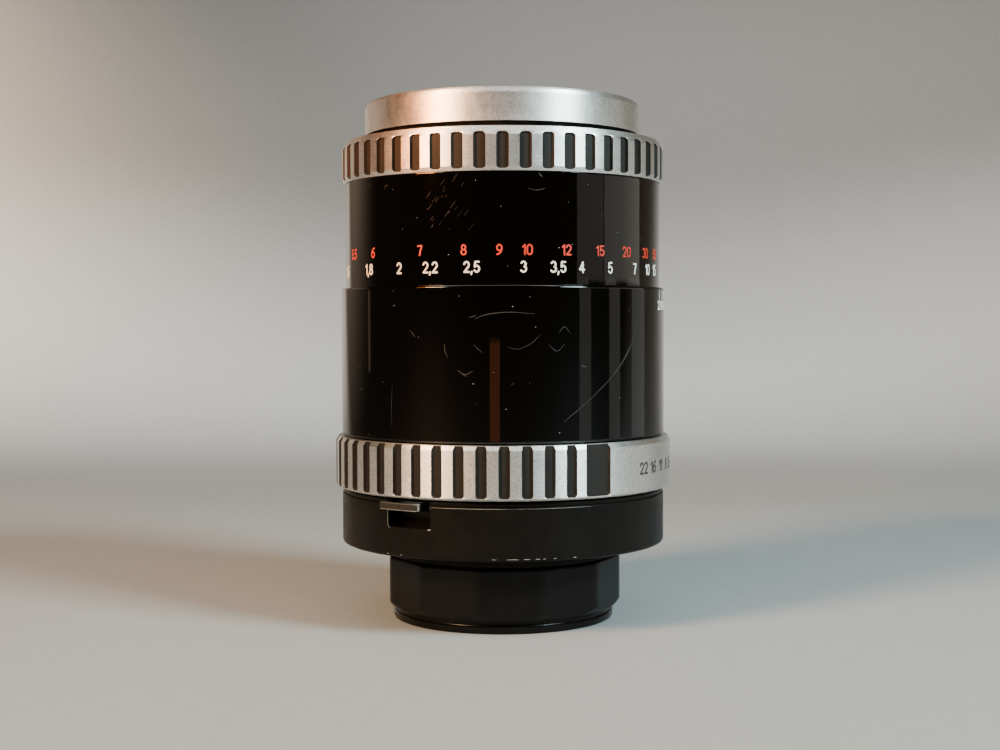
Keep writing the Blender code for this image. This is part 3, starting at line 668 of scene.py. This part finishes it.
R, B, T = extent("filter_ring")
filter_ring = turn("filter_ring_shell", "optics", "bright_alloy", [
    (R - 2.7, B - 0.29), (R - 0.75, B - 0.29), (R - 0.75, B), (R - 0.15, B), (R, B + 0.15),
    (R, T - 1.1), (R - 0.2, T - 0.4), (R - 0.6, T), (R - 0.95, T),
    *reversed(thread(R - 1.1, 0.36, T - 4.6, T - 0.5, 0.75)), (R - 1.1, B + 0.85),
    (R - 2.7, B + 0.85)], [BRIGHT, FLOCK], 0.08,
    pick=lambda r, z: int(z < B + 0.1 or (r < R - 1.2 and z < T - 5.0)))
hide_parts("filter_ring")

R, B, T = extent("name_ring")
WIDTH, FALL, TREAD = 2.1, 0.4, 0.35  # of the name ring's stepped cone
steps = []
for k in range(6):
    near, rise = R - TREAD * k, T - FALL * (TREAD * k) / WIDTH
    steps += [(near, rise), (near - 0.2, rise - 0.04), (near - 0.24, rise - 0.14),
              (near - 0.31, rise - 0.14)]
name_ring = turn("name_ring_blank", "optics", "satin_black",
                 [(R - WIDTH, B), (R, B)] + steps + [(R - WIDTH, T - FALL)], [SATIN], 0.03)
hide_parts("name_ring")


# -------- rear cap

def cap_columns(R, B, T, flat):
    """The twelve-sided wall of the cap over its round foot, with the finger flats' lower ends
    curving down where they meet the tapered foot. flat is the radius of the flats."""
    sides, first, steps = 12, -11.0, 12
    hardness = 320  # how crisp the corners between two flats are
    columns = []
    for k in range(sides * steps):
        angle = first + 360.0 * k / (sides * steps)
        total = 0.0
        for side in range(sides):
            lean = math.radians(angle - first - 360.0 * (side + 0.5) / sides)
            if math.cos(lean) > 0.5:
                total += math.cos(lean) ** hardness
        r = flat * total ** (-1 / hardness)
        foot = B + 2.75 + (r - (R - 1.05)) / 1.05 * 1.45
        wall = [(R - 4.9, B + 0.6), (R - 4.6, B + 0.05), (R - 4.4, B), (R - 2.2, B),
                (R - 1.95, B + 0.1), (R - 1.85, B + 0.4), (R - 1.85, B + 1.25),
                (R - 2.0, B + 1.42), (R - 2.4, B + 1.5), (R - 2.45, B + 1.6),
                (R - 2.45, B + 2.5), (R - 2.4, B + 2.6), (R - 1.6, B + 2.66),
                (R - 1.15, B + 2.72), (r - 0.22, foot - 0.16), (r - 0.07, foot - 0.02),
                (r, foot + 0.22), (r, foot + 0.45), (r, T - 0.6), (r, T - 0.35),
                (r - 0.1, T - 0.1), (r - 0.35, T), (R - 3.0, T), (R - 3.1, T - 0.1)]
        wall += list(reversed(thread(R - 3.1, 0.5, B + 4.0, T - 0.8, 1.0)))
        wall += [(R - 3.1, B + 2.1), (R - 3.2, B + 2.0), (0.0, B + 2.0), (0.0, B + 0.6)]
        columns.append([(radius, angle, z) for radius, z in wall])
    return columns


_, B, T = extent("rear_cap")
CAP_FOOT_R, CAP_FLAT_R = 24.4, 23.375
RIM_ROWS = 13  # rows of the cap's profile below its wall
cap = revolve("rear_cap_shell", "cap", "cap_plastic", cap_columns(CAP_FOOT_R, B, T, CAP_FLAT_R),
              [CAP, RIM], lambda c, i: int(i < RIM_ROWS), sharp=30.0)
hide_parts("rear_cap")


# -------- auto and manual lever

def swept_plate(name, body, slot, path, low, high, thick, mats):
    """A plate on edge along a path of (x, y) points. mats are for its faces, its bare metal edges
    and its tail, which reaches into the housing; the tail takes a darker material as painted
    shade, for the shadow it lies in."""
    b, tail = 0.16, 8
    section = [(-thick / 2 + b, low), (thick / 2 - b, low), (thick / 2, low + b),
               (thick / 2, high - b), (thick / 2 - b, high), (-thick / 2 + b, high),
               (-thick / 2, high - b), (-thick / 2, low + b)]
    points, faces, indices = [], [], []
    count = len(path)
    for i, p in enumerate(path):
        ahead = path[min(i + 1, count - 1)] - path[max(i - 1, 0)]
        ahead.normalize()
        across = Vector((ahead.y, -ahead.x))
        shrink = 0.8 if i in (0, count - 1) else 1.0
        for offset, z in section:
            q = p + across * offset * shrink
            mid = (low + high) / 2
            points.append(Vector((q.x, q.y, mid + (z - mid) * (0.9 if shrink < 1 else 1))))
    n = len(section)
    for i in range(count - 1):
        for k in range(n):
            a, c = i * n + k, i * n + (k + 1) % n
            faces.append((a, c, c + n, a + n))
            bare_metal_edge = k % 2 == 1 or i in (0, count - tail - 1)
            # Faces of the tail take index 2, a darker material: painted shade.
            indices.append(2 if i > count - tail else int(bare_metal_edge))
    faces += [tuple(range(n)), tuple(range(count * n - 1, (count - 1) * n - 1, -1))]
    indices += [1, 0]
    return piece(name, body, slot, points, faces, mats, indices, 25.0)


_, B, T = extent("auto_manual_lever")
R = HOUSING_R + 1.35
TAB_FROM, BEND = -43.0, -30.1  # where the tab starts, and where it turns in at the notch
tab = [polar(R - 0.5, angle).xy for angle in
       [TAB_FROM - 0.3, TAB_FROM - 0.15]
       + [TAB_FROM + (BEND - TAB_FROM) * k / 20 for k in range(21)]]
bend_centre = polar(R - 1.5, BEND).xy
outward = polar(1, BEND).xy
sideways = Vector((-outward.y, outward.x))
for k in range(1, 9):
    a = math.radians(90 * k / 8)
    tab.append(bend_centre + outward * math.cos(a) + sideways * math.sin(a))
tab += [bend_centre + sideways - outward * k * 0.45 for k in range(1, 5)]
# The tab's tail is drawn in the darker groove black as painted shade.
lever_tab = swept_plate("lever_tab", "lever", "steel", tab, B, T, 1.0, [LEVER, EDGE, GROOVE])
block("lever_slide", "lever", "steel", R - 7.85, R - 3.85, -58.0, -18.0, B, T, [STEEL])
block("lever_arm", "lever", "steel", R - 3.9, R - 2.8, BEND + 0.9, BEND + 2.6, B, T, [GROOVE])
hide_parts("auto_manual_lever")


# -------- glass

FRONT_TOP = extent("front_element")[2]


def sag(radius, r):
    """How far a sphere has fallen away from its apex at a distance r from the axis."""
    return radius - math.sqrt(radius * radius - r * r)


def lens_element(name, node, front, rear, slot, flat=None):
    """A glass element from its front and rear surfaces: (radius of curvature, height of the
    apex above the front one's, 1 if its edge lies lower and -1 if higher). flat is the radius
    of a rear hollow."""
    edge = extent(node)[0]
    count = 22
    profile = []
    for k in range(count + 1):
        r = edge * math.sin(math.pi / 2 * k / count)
        profile.append((r, FRONT_TOP + front[1] - front[2] * sag(front[0], r)))
    reach = flat or edge
    for k in range(count, -1, -1):
        r = reach * math.sin(math.pi / 2 * k / count)
        profile.append((r, FRONT_TOP + rear[1] - rear[2] * sag(rear[0], r)))
        if k == count and flat:
            profile.insert(-1, (edge, profile[-1][1]))
    points = [p for i, p in enumerate(profile)
              if i == 0 or (Vector(p) - Vector(profile[i - 1])).length > 1e-4]
    around = 96
    columns = [[(r, 360.0 * c / around, z) for r, z in points] for c in range(around)]
    middle = [(a[0] + b[0]) / 2 for a, b in zip(points, points[1:] + points[:1])]
    element = revolve(name, "optics", slot, columns, [FINISH[slot], FLOCK],
                      lambda c, i: int(middle[i] > edge - 0.02), sharp=30.0)
    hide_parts(node)


lens_element("front_glass", "front_element", (70, 0, 1), (2000, -8.4, 1), "coated_glass")
lens_element("second_glass", "second_element", (48, -9.4, 1), (110, -14.6, 1), "clear_glass")
lens_element("third_glass", "third_element", (150, -19.4, -1), (32, -21.2, 1), "clear_glass",
             flat=17.5)
lens_element("fourth_glass", "fourth_element", (40, -41.9, 1), (45, -49.4, -1), "clear_glass")
lens_element("rear_glass", "rear_element", (45, -49.55, -1), (120, -51.4, -1), "coated_glass")


# -------- rear mount, baffle and spring

R, B, T = extent("mount_ring")
mount = turn("mount_ring_threaded", "lens_body", "inner_alloy", [
    (R - 4.2, B), (R - 3.0, B), *thread(R - 2.6, -0.45, B + 0.35, T - 4.7, 1.0),
    (R - 2.6, T - 4.5), (R, T - 4.5), (R, T - 2.33), (R - 1.9, T - 2.33), (R - 1.9, T),
    (R - 7.4, T),
    (R - 7.4, T - 2.0), (R - 4.2, T - 2.0)], [INNER, GROOVE], 0.1,
    pick=lambda r, z: int(r > R - 2.4 or z > T - 4.4))
carve(mount, rod(polar(17.8, -96, T - 1), UP, 1.3, 6.0))
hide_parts("mount_ring")

R, B, T = extent("rear_baffle")
baffle = turn("rear_baffle_ribbed", "lens_body", "flock_black",
              [(R - 0.8, B), (R, B), (R, T), (R - 0.8, T),
               *reversed(thread(R - 0.72, 0.34, B + 2.0, T - 2.0, 1.2)), (R - 0.8, B + 1.0)],
              [FLOCK], 0.04, count=120)
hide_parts("rear_baffle")


def coil(name, body, slot, centre, radius, wire, low, high, turns, mats):
    """A compression spring, its end turns wound flat. wire is the radius of the wire."""
    flat, sides = 0.8, 8
    live = high - low - 2 * wire - 4 * wire * flat
    count = int(turns * 24)
    points, faces = [], []
    for i in range(count + 1):
        t = turns * i / count
        ends = min(t, flat) + max(0.0, t - turns + flat)
        share = min(max((t - flat) / (turns - 2 * flat), 0.0), 1.0)
        z = low + wire + 2 * wire * ends + live * share
        for k in range(sides):
            a = 2 * math.pi * k / sides
            p = polar(radius + wire * math.cos(a), 360.0 * t, z + wire * math.sin(a))
            points.append(p + centre)
    for i in range(count):
        for k in range(sides):
            a, c = i * sides + k, i * sides + (k + 1) % sides
            faces.append((a, c, c + sides, a + sides))
    faces += [tuple(range(sides)), tuple(range(count * sides, (count + 1) * sides))]
    return piece(name, body, slot, points, faces, mats)


spring_box = [Vector(corner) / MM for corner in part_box("pin_spring")]
spring_low, spring_high = spring_box[0].z, spring_box[1].z
spring_axis = (spring_box[0] + spring_box[1]).xy / 2
spring = coil("pin_spring_coil", "lens_body", "steel", Vector((*spring_axis, 0)), 1.45, 0.2,
              spring_low, spring_high, 6.5, [STEEL])
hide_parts("pin_spring")
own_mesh(spring)


# -------- numbers and lines

SLEEVE_R, _, _ = extent("scale_sleeve")
BARREL_R, BARREL_B, BARREL_T = extent("lower_barrel")
STOP_R, STOP_B, _ = extent("aperture_ring")
INDEX = 84.3  # angle of the index line
FOOT, FOCAL = 0.3048, 0.135  # in metres
FIRST_STOP, STOP_STEP = 52.5, 6.3  # angle of the stop number 22, and from one to the next


def distance_angle(metres):
    """Where a distance stands on the scale when the lens is set to infinity."""
    turn_at_one = 210.0  # how far it turns for one metre past twice the focal length
    return INDEX - 0.5 - turn_at_one / (metres - 2 * FOCAL)


infinity = ("o", INDEX - 0.2)
feet = [(str(f), distance_angle(f * FOOT))
        for f in (5.5, 6, 7, 8, 9, 10, 12, 15, 20, 30, 50)] + [infinity]
metres = [(str(m).replace(".", ","), distance_angle(m))
          for m in (1.6, 1.8, 2, 2.2, 2.5, 3, 3.5, 4, 5, 7, 10, 15)] + [infinity]
for name, slot, scale, z, size in (
        ("feet_numbers", "red_marking", feet, BARREL_T + 6.44, 2.1),
        ("metre_numbers", "white_marking", metres, BARREL_T + 3.28, 2.22)):
    strokes(name, "focus_ring", slot, FINISH[slot],
            [line for text, angle in scale for line in write(text, SLEEVE_R, angle, z, size)])

depth_lines = [(BARREL_R, [(INDEX, BARREL_T - 0.8), (INDEX, BARREL_T - 4.6)], 0.16, False,
                False)]
for text, reach in (("22", 14.0), ("16", 9.5), ("", 7.0), ("8", 5.0), ("", 3.6), ("", 2.5)):
    for side in (-1, 1):
        angle = INDEX + side * reach
        depth_lines.append((BARREL_R, [(angle, BARREL_T - 0.8), (angle, BARREL_T - 2.4)], 0.1,
                            False, False))
        depth_lines += write(text, BARREL_R, angle, BARREL_T - 3.6, 1.9)
depth_lines += [(BARREL_R, bow(INDEX + 0.2, BARREL_B + 12.1, 0.55, 0.32, 0, 360, 16), 0.16, True,
                 False)]
strokes("depth_of_field_marks", "lens_body", "white_marking", WHITE, depth_lines)

stop_lines = []
for k, text in enumerate(("22", "16", "11", "8", "5.6", "4", "2.8")):
    stop_lines += write(text, STOP_R, FIRST_STOP + STOP_STEP * k, STOP_B + 4.9, 2.4, 0.09)
strokes("stop_numbers", "stop_ring", "black_marking", BLACK, stop_lines)


# -------- wear

def scratch(radius, path, half=0.05):
    """A fine scratch through points of (angle, height), smoothed."""
    points = [Vector(p) for p in path]
    ends = [points[0] * 2 - points[1]] + points + [points[-1] * 2 - points[-2]]
    smooth = []
    for i in range(1, len(ends) - 2):
        p0, p1, p2, p3 = ends[i - 1:i + 3]
        for k in range(6):
            t = k / 6
            smooth.append(0.5 * ((2 * p1) + (p2 - p0) * t
                                 + (2 * p0 - 5 * p1 + 4 * p2 - p3) * t ** 2
                                 + (3 * p1 - p0 - 3 * p2 + p3) * t ** 3))
    smooth.append(points[-1])
    return (radius, [tuple(p) for p in smooth], half, False, True)


barrel_wear = [scratch(BARREL_R, path, half) for path, half in (
    ([(-9, 60.7), (-5, 61.5), (2, 61.9), (10, 61.6)], 0.07),
    ([(-11, 60.9), (-8.5, 61.3)], 0.06),
    ([(-19.2, 56.1), (-19, 54.7), (-18, 53.6)], 0.06),
    ([(-14.8, 51.2), (-12.2, 50.4), (-9.7, 51.1)], 0.09),
    ([(-13.2, 50.4), (-11.5, 50.0)], 0.06),
    ([(1.5, 55.5), (4.8, 55.1), (9, 56.1), (12, 57.7)], 0.06),
    ([(14.8, 55.9), (17.6, 54.7), (20.2, 55.9)], 0.055),
    ([(18.3, 58.1), (20.2, 59.2), (22.2, 58)], 0.055),
    ([(20.2, 41.6), (30, 45.8), (41, 51), (49.5, 57), (52, 60.8)], 0.075),
    ([(21.5, 42.2), (29, 45.3)], 0.05),
    ([(42, 51.2), (47.5, 55)], 0.05),
    ([(-39.4, 48.7), (-39.8, 44), (-39.6, 40.4)], 0.045),
    ([(-32, 58.6), (-30.6, 57.9), (-30, 57.3)], 0.05),
    ([(26, 52), (28.4, 51.6)], 0.08),
    ([(-9.5, 56), (-7.8, 55), (-6.5, 54.4)], 0.045),
    ([(2.5, 48.4), (3.6, 48.9)], 0.05))]
sleeve_wear = [
    scratch(SLEEVE_R, [(8.2, 84.8), (11, 84.4), (14.3, 84.7)], 0.06),
    scratch(SLEEVE_R, [(12, 87.6), (12.6, 87.2), (13.2, 86.8)], 0.09),
]
for _ in range(26):  # the patch of hair lines below the grip
    turn_at, z = rng.uniform(-27, -11), rng.uniform(76.5, 86.5)
    long = rng.uniform(0.6, 2.2)
    sleeve_wear.append(scratch(SLEEVE_R, [(turn_at, z), (turn_at + long, z + long * 0.7)],
                               rng.uniform(0.012, 0.025)))
for k in range(46):  # the hidden side, on the two barrels in turn
    turn_at, z = rng.uniform(60, 330), rng.uniform(41, 65)
    lean, long = rng.uniform(0, math.pi), rng.uniform(0.8, 4.5)
    step = Vector((math.cos(lean) * 1.7, math.sin(lean))) * long
    bent = (turn_at + step.x * 0.5 + rng.uniform(-.5, .5),
            z + step.y * 0.5 + rng.uniform(-.3, .3))
    lower = k % 2
    radius, wear, limit = ((BARREL_R, barrel_wear, 66) if lower
                           else (SLEEVE_R, sleeve_wear, 87.4))
    z_at = z if lower else min(86.0, z + 27.0)
    shift = z_at - z
    path = [(turn_at, z_at), (bent[0], bent[1] + shift)]
    path.append((turn_at + step.x, min(max(z + step.y, 38.5), 65.8) + shift))
    if max(p[1] for p in path) < limit:
        wear.append(scratch(radius, path, rng.uniform(0.02, 0.05)))
strokes("barrel_scratches", "lens_body", "gloss_black", SCRATCH, barrel_wear, proud=0.006)
strokes("sleeve_scratches", "focus_ring", "gloss_black", SCRATCH, sleeve_wear, proud=0.006)


def specks(radius, low, high, count, sizes):
    """Dust: tiny flat flecks scattered over a cylinder."""
    lines = []
    for _ in range(count):
        angle, z = rng.uniform(-180, 180), rng.uniform(low, high)
        size = rng.uniform(*sizes)
        lines.append((radius, [(angle, z), (angle + rng.uniform(-0.1, 0.1), z + size)],
                      size * 0.6, False, False))
    return lines


strokes("barrel_dust", "lens_body", "gloss_black", DUST,
        specks(BARREL_R, BARREL_B + 11.5, BARREL_T - 1, 90, (0.03, 0.08)), 0.01)
strokes("sleeve_dust", "focus_ring", "gloss_black", DUST,
        specks(SLEEVE_R, BARREL_T + 0.5, BARREL_T + 20, 50, (0.03, 0.07)), 0.01)

# Bare metal round the notch and along the housing's edges. The two tapered lines along the top
# edge, drawn only across the front, are partly wear and partly a painted highlight.
edge_wear_and_highlight = [(HOUSING_R, [(NOTCH_FROM - 0.15, WALL_TOP - 1.0), (NOTCH_FROM - 0.15, NOTCH_B + 0.57),
                     (NOTCH_FROM + 0.05, NOTCH_B + 0.12), (NOTCH_FROM + 0.7, NOTCH_B - 0.11),
                     (NOTCH_TO - 0.9, NOTCH_B - 0.11)], 0.045, False, False),
        (HOUSING_R, [(NOTCH_TO - 0.8, NOTCH_B - 0.07), (NOTCH_TO - 0.1, NOTCH_B - 0.01)], 0.11,
         False, False),
        # Painted highlight in part: bare metal along the top edge, only where the edge catches
        # the light.
        scratch(HOUSING_R, [(a, WALL_TOP - 0.1) for a in (NOTCH_TO + 0.3, -8, 2)], 0.055),
        scratch(HOUSING_R, [(a, WALL_TOP - 0.1) for a in (-5, 16, 30)], 0.03)]
for angle, long, half in ((3, 2.0, .06), (7.6, 0.9, .12), (11.2, .6, .15), (13.4, .5, .05),
                          (17, .4, .08), (24, .5, .07), (-3, .8, .04), (-36, .3, .08)):
    edge_wear_and_highlight.append(scratch(HOUSING_R - 0.02, [(angle - long, HOUSING_B + 0.55),
                                           (angle, HOUSING_B + 0.5 + half),
                                           (angle + long, HOUSING_B + 0.55)], half))
for _ in range(34):
    angle = rng.uniform(60, 320)
    long = rng.uniform(0.3, 1.6)
    edge_wear_and_highlight.append(scratch(HOUSING_R - 0.02, [(angle, HOUSING_B + 0.56),
                                           (angle + long, HOUSING_B + 0.58)],
                        rng.uniform(0.02, 0.09)))
strokes("housing_edge_wear_and_highlight", "lens_body", "steel", EDGE, edge_wear_and_highlight, proud=0.012)


# -------- carried-over CAD nodes

record_slots = {s["node"]: s["material_slot"] for s in frame["record"]["subparts"]}
for name, node in frame["nodes"].items():
    node.data.materials.clear()
    node.data.materials.append(FINISH[record_slots[name]])
    node.data.polygons.foreach_set("material_index", [0] * len(node.data.polygons))


# -------- stage

BACKDROP = paint("backdrop_card", (0.308, 0.314, 0.316), (0.293, 0.299, 0.301), 0.75, 0.05, 0.02)


def shade_far_side(mat, planes, colour):
    """Paints shade on the backdrop: fades its colour to a dark painted shade beyond any of the
    given lines, standing for the light falling off away from the lens. Each line is a direction
    across the floor with the two distances in metres between which the fade runs."""
    tree = mat.node_tree
    shader = tree.nodes["Principled BSDF"]
    pale = shader.inputs["Base Color"].links[0].from_socket
    place = tree.nodes.new("ShaderNodeTexCoord")
    for toward, near, far in planes:
        along = tree.nodes.new("ShaderNodeVectorMath")
        along.operation = "DOT_PRODUCT"
        along.inputs[1].default_value = toward
        ranged = tree.nodes.new("ShaderNodeMapRange")
        ranged.interpolation_type = "SMOOTHSTEP"
        ranged.inputs["From Min"].default_value = near
        ranged.inputs["From Max"].default_value = far
        mix = tree.nodes.new("ShaderNodeMix")
        mix.data_type = "RGBA"
        mix.inputs["B"].default_value = (*colour, 1)
        tree.links.new(place.outputs["Object"], along.inputs[0])
        tree.links.new(along.outputs["Value"], ranged.inputs["Value"])
        tree.links.new(ranged.outputs["Result"], mix.inputs["Factor"])
        tree.links.new(pale, mix.inputs["A"])
        pale = mix.outputs["Result"]
    tree.links.new(pale, shader.inputs["Base Color"])


# Painted shade: the colour the backdrop darkens to where the light would fall off.
PAINTED_SHADE = (0.035, 0.034, 0.033)
shade_far_side(BACKDROP, [((-0.485, -0.875, 0.0), 0.135, 0.20),
                          ((-0.966, -0.259, 0.0), 0.18, 0.30),
                          ((0.423, -0.906, 0.0), 0.16, 0.30)], PAINTED_SHADE)


def bowl():
    """Floor disc that curves up into a round backdrop."""
    flat, rise, top = 420.0, 480.0, 1500.0  # radius of the floor, the curve's, wall's height
    profile = [(0.0, 0.0)] + [(flat * k / 6, 0.0) for k in range(1, 7)]
    profile += [(flat + rise * math.sin(math.radians(a)), rise * (1 - math.cos(math.radians(a))))
                for a in range(6, 91, 6)]
    profile += [(flat + rise, rise + (top - rise) * k / 4) for k in range(1, 5)]
    count = 72
    points, faces = [], []
    for r, z in profile:
        points += [polar(r, 360.0 * k / count, z) for k in range(count)]
    for i in range(len(profile) - 1):
        for k in range(count):
            n = (k + 1) % count
            faces.append((i * count + k, (i + 1) * count + k, (i + 1) * count + n, i * count + n))
    stage = piece("studio_floor", None, None, points, faces, [BACKDROP], sharp=180)


bowl()


MID_HEIGHT = (0, 0, 0.05)  # in metres; the lights stand round it


def soft_light(name, azimuth, elevation, distance, width, height, power, colour,
               aim=MID_HEIGHT, spread=180.0):
    """A lamp that the camera does not see, in metres and watts; azimuth 0 is the camera's."""
    data = bpy.data.lights.new(name, "AREA")
    data.shape = "RECTANGLE"
    data.size, data.size_y = width, height
    data.energy = power
    data.color = colour
    data.spread = math.radians(spread)
    lamp = bpy.data.objects.new(name, data)
    bpy.context.scene.collection.objects.link(lamp)
    a, e = math.radians(azimuth), math.radians(elevation)
    lamp.location = Vector((math.sin(a) * math.cos(e), -math.cos(a) * math.cos(e),
                            math.sin(e))) * distance + Vector(MID_HEIGHT)
    lamp.rotation_mode = "QUATERNION"
    lamp.rotation_quaternion = (Vector(aim) - lamp.location).to_track_quat("-Z", "Y")
    lamp.visible_camera = False
    return lamp


soft_light("warm_key", -50, 29, 0.80, 0.18, 0.18, 4.4, (1.0, 0.66, 0.38), spread=110)
soft_light("ring_glow", -50, 28, 0.15, 0.03, 0.03, 0.03, (1.0, 0.24, 0.03),
           aim=(-0.02, -0.018, 0.101), spread=60)
soft_light("cool_key", 54, 32, 0.80, 0.22, 0.20, 4.1, (0.76, 1.0, 1.03), spread=110)
soft_light("front_top", -4, 62, 0.80, 1.00, 0.16, 1.45, (1.0, 0.97, 0.93), spread=110)
soft_light("warm_wash", -122, 40, 0.80, 0.24, 0.16, 6.4, (1.0, 0.72, 0.50),
           aim=(-0.66, 0.60, 0.14), spread=100)
soft_light("low_wash", 180, 30, 0.60, 0.80, 0.10, 1.3, (1.0, 0.99, 0.96),
           aim=(0.0, 0.56, 0.0), spread=95)
soft_light("upper_wash", 165, 28, 0.56, 0.50, 0.12, 0.36, (1.0, 0.99, 0.97),
           aim=(0.15, 0.84, 0.26), spread=100)


def reflected(name, start, end, low, high, radiance, colour, distance=0.42):
    """A faint upright panel that only shows as a band in the lacquer, between two azimuths and
    two heights. distance is in metres."""
    width = 2 * distance * math.sin(math.radians(end - start) / 2)
    height = (high - low) * MM
    middle = (low + high) / 2 * MM
    lamp = soft_light(name, (start + end) / 2, 0, distance, width, height,
                      radiance * math.pi * width * height, colour)
    lamp.location.z = middle
    lamp.rotation_quaternion = (Vector((0, 0, middle)) - lamp.location).to_track_quat("-Z", "Y")


reflected("brown_band", -8.5, -2, 3, 52, 0.9, (1.0, 0.27, 0.10))
reflected("thin_brown_band", -104.5, -102, 38, 76, 0.5, (1.0, 0.70, 0.45))
reflected("grey_band", 52, 61, 4, 80, 0.45, (1.0, 0.95, 0.86))
reflected("grey_band_right", 76, 86, 4, 80, 0.5, (1.0, 0.98, 0.90))
reflected("grey_band_far", 98, 114, 4, 80, 0.4, (0.95, 1.0, 0.98))
reflected("upper_band", 52, 74, 79, 135, 0.5, (1.0, 0.90, 0.80))
reflected("upper_band_right", 73.5, 114, 79, 135, 0.8, (1.0, 0.97, 0.86))

world = bpy.data.worlds.new("studio_air")
world.use_nodes = True
world.node_tree.nodes["Background"].inputs["Color"].default_value = (0.55, 0.56, 0.58, 1)
world.node_tree.nodes["Background"].inputs["Strength"].default_value = 0.02
bpy.context.scene.world = world


# -------- camera

CAMERA_AT = (-0.56, -309.3, 59.7)
CAMERA_DOWN, CAMERA_ROLL = 1.94, -0.14

camera_data = bpy.data.cameras.new("camera")
camera_data.lens = 54.07
camera_data.sensor_width = 36.0
camera_data.clip_start = 0.01
camera = bpy.data.objects.new("camera", camera_data)
bpy.context.scene.collection.objects.link(camera)
camera.matrix_world = (Matrix.Translation(Vector(CAMERA_AT) * MM)
                       @ Matrix.Rotation(math.radians(90 - CAMERA_DOWN), 4, "X")
                       @ Matrix.Rotation(math.radians(CAMERA_ROLL), 4, "Z"))
bpy.context.scene.camera = camera
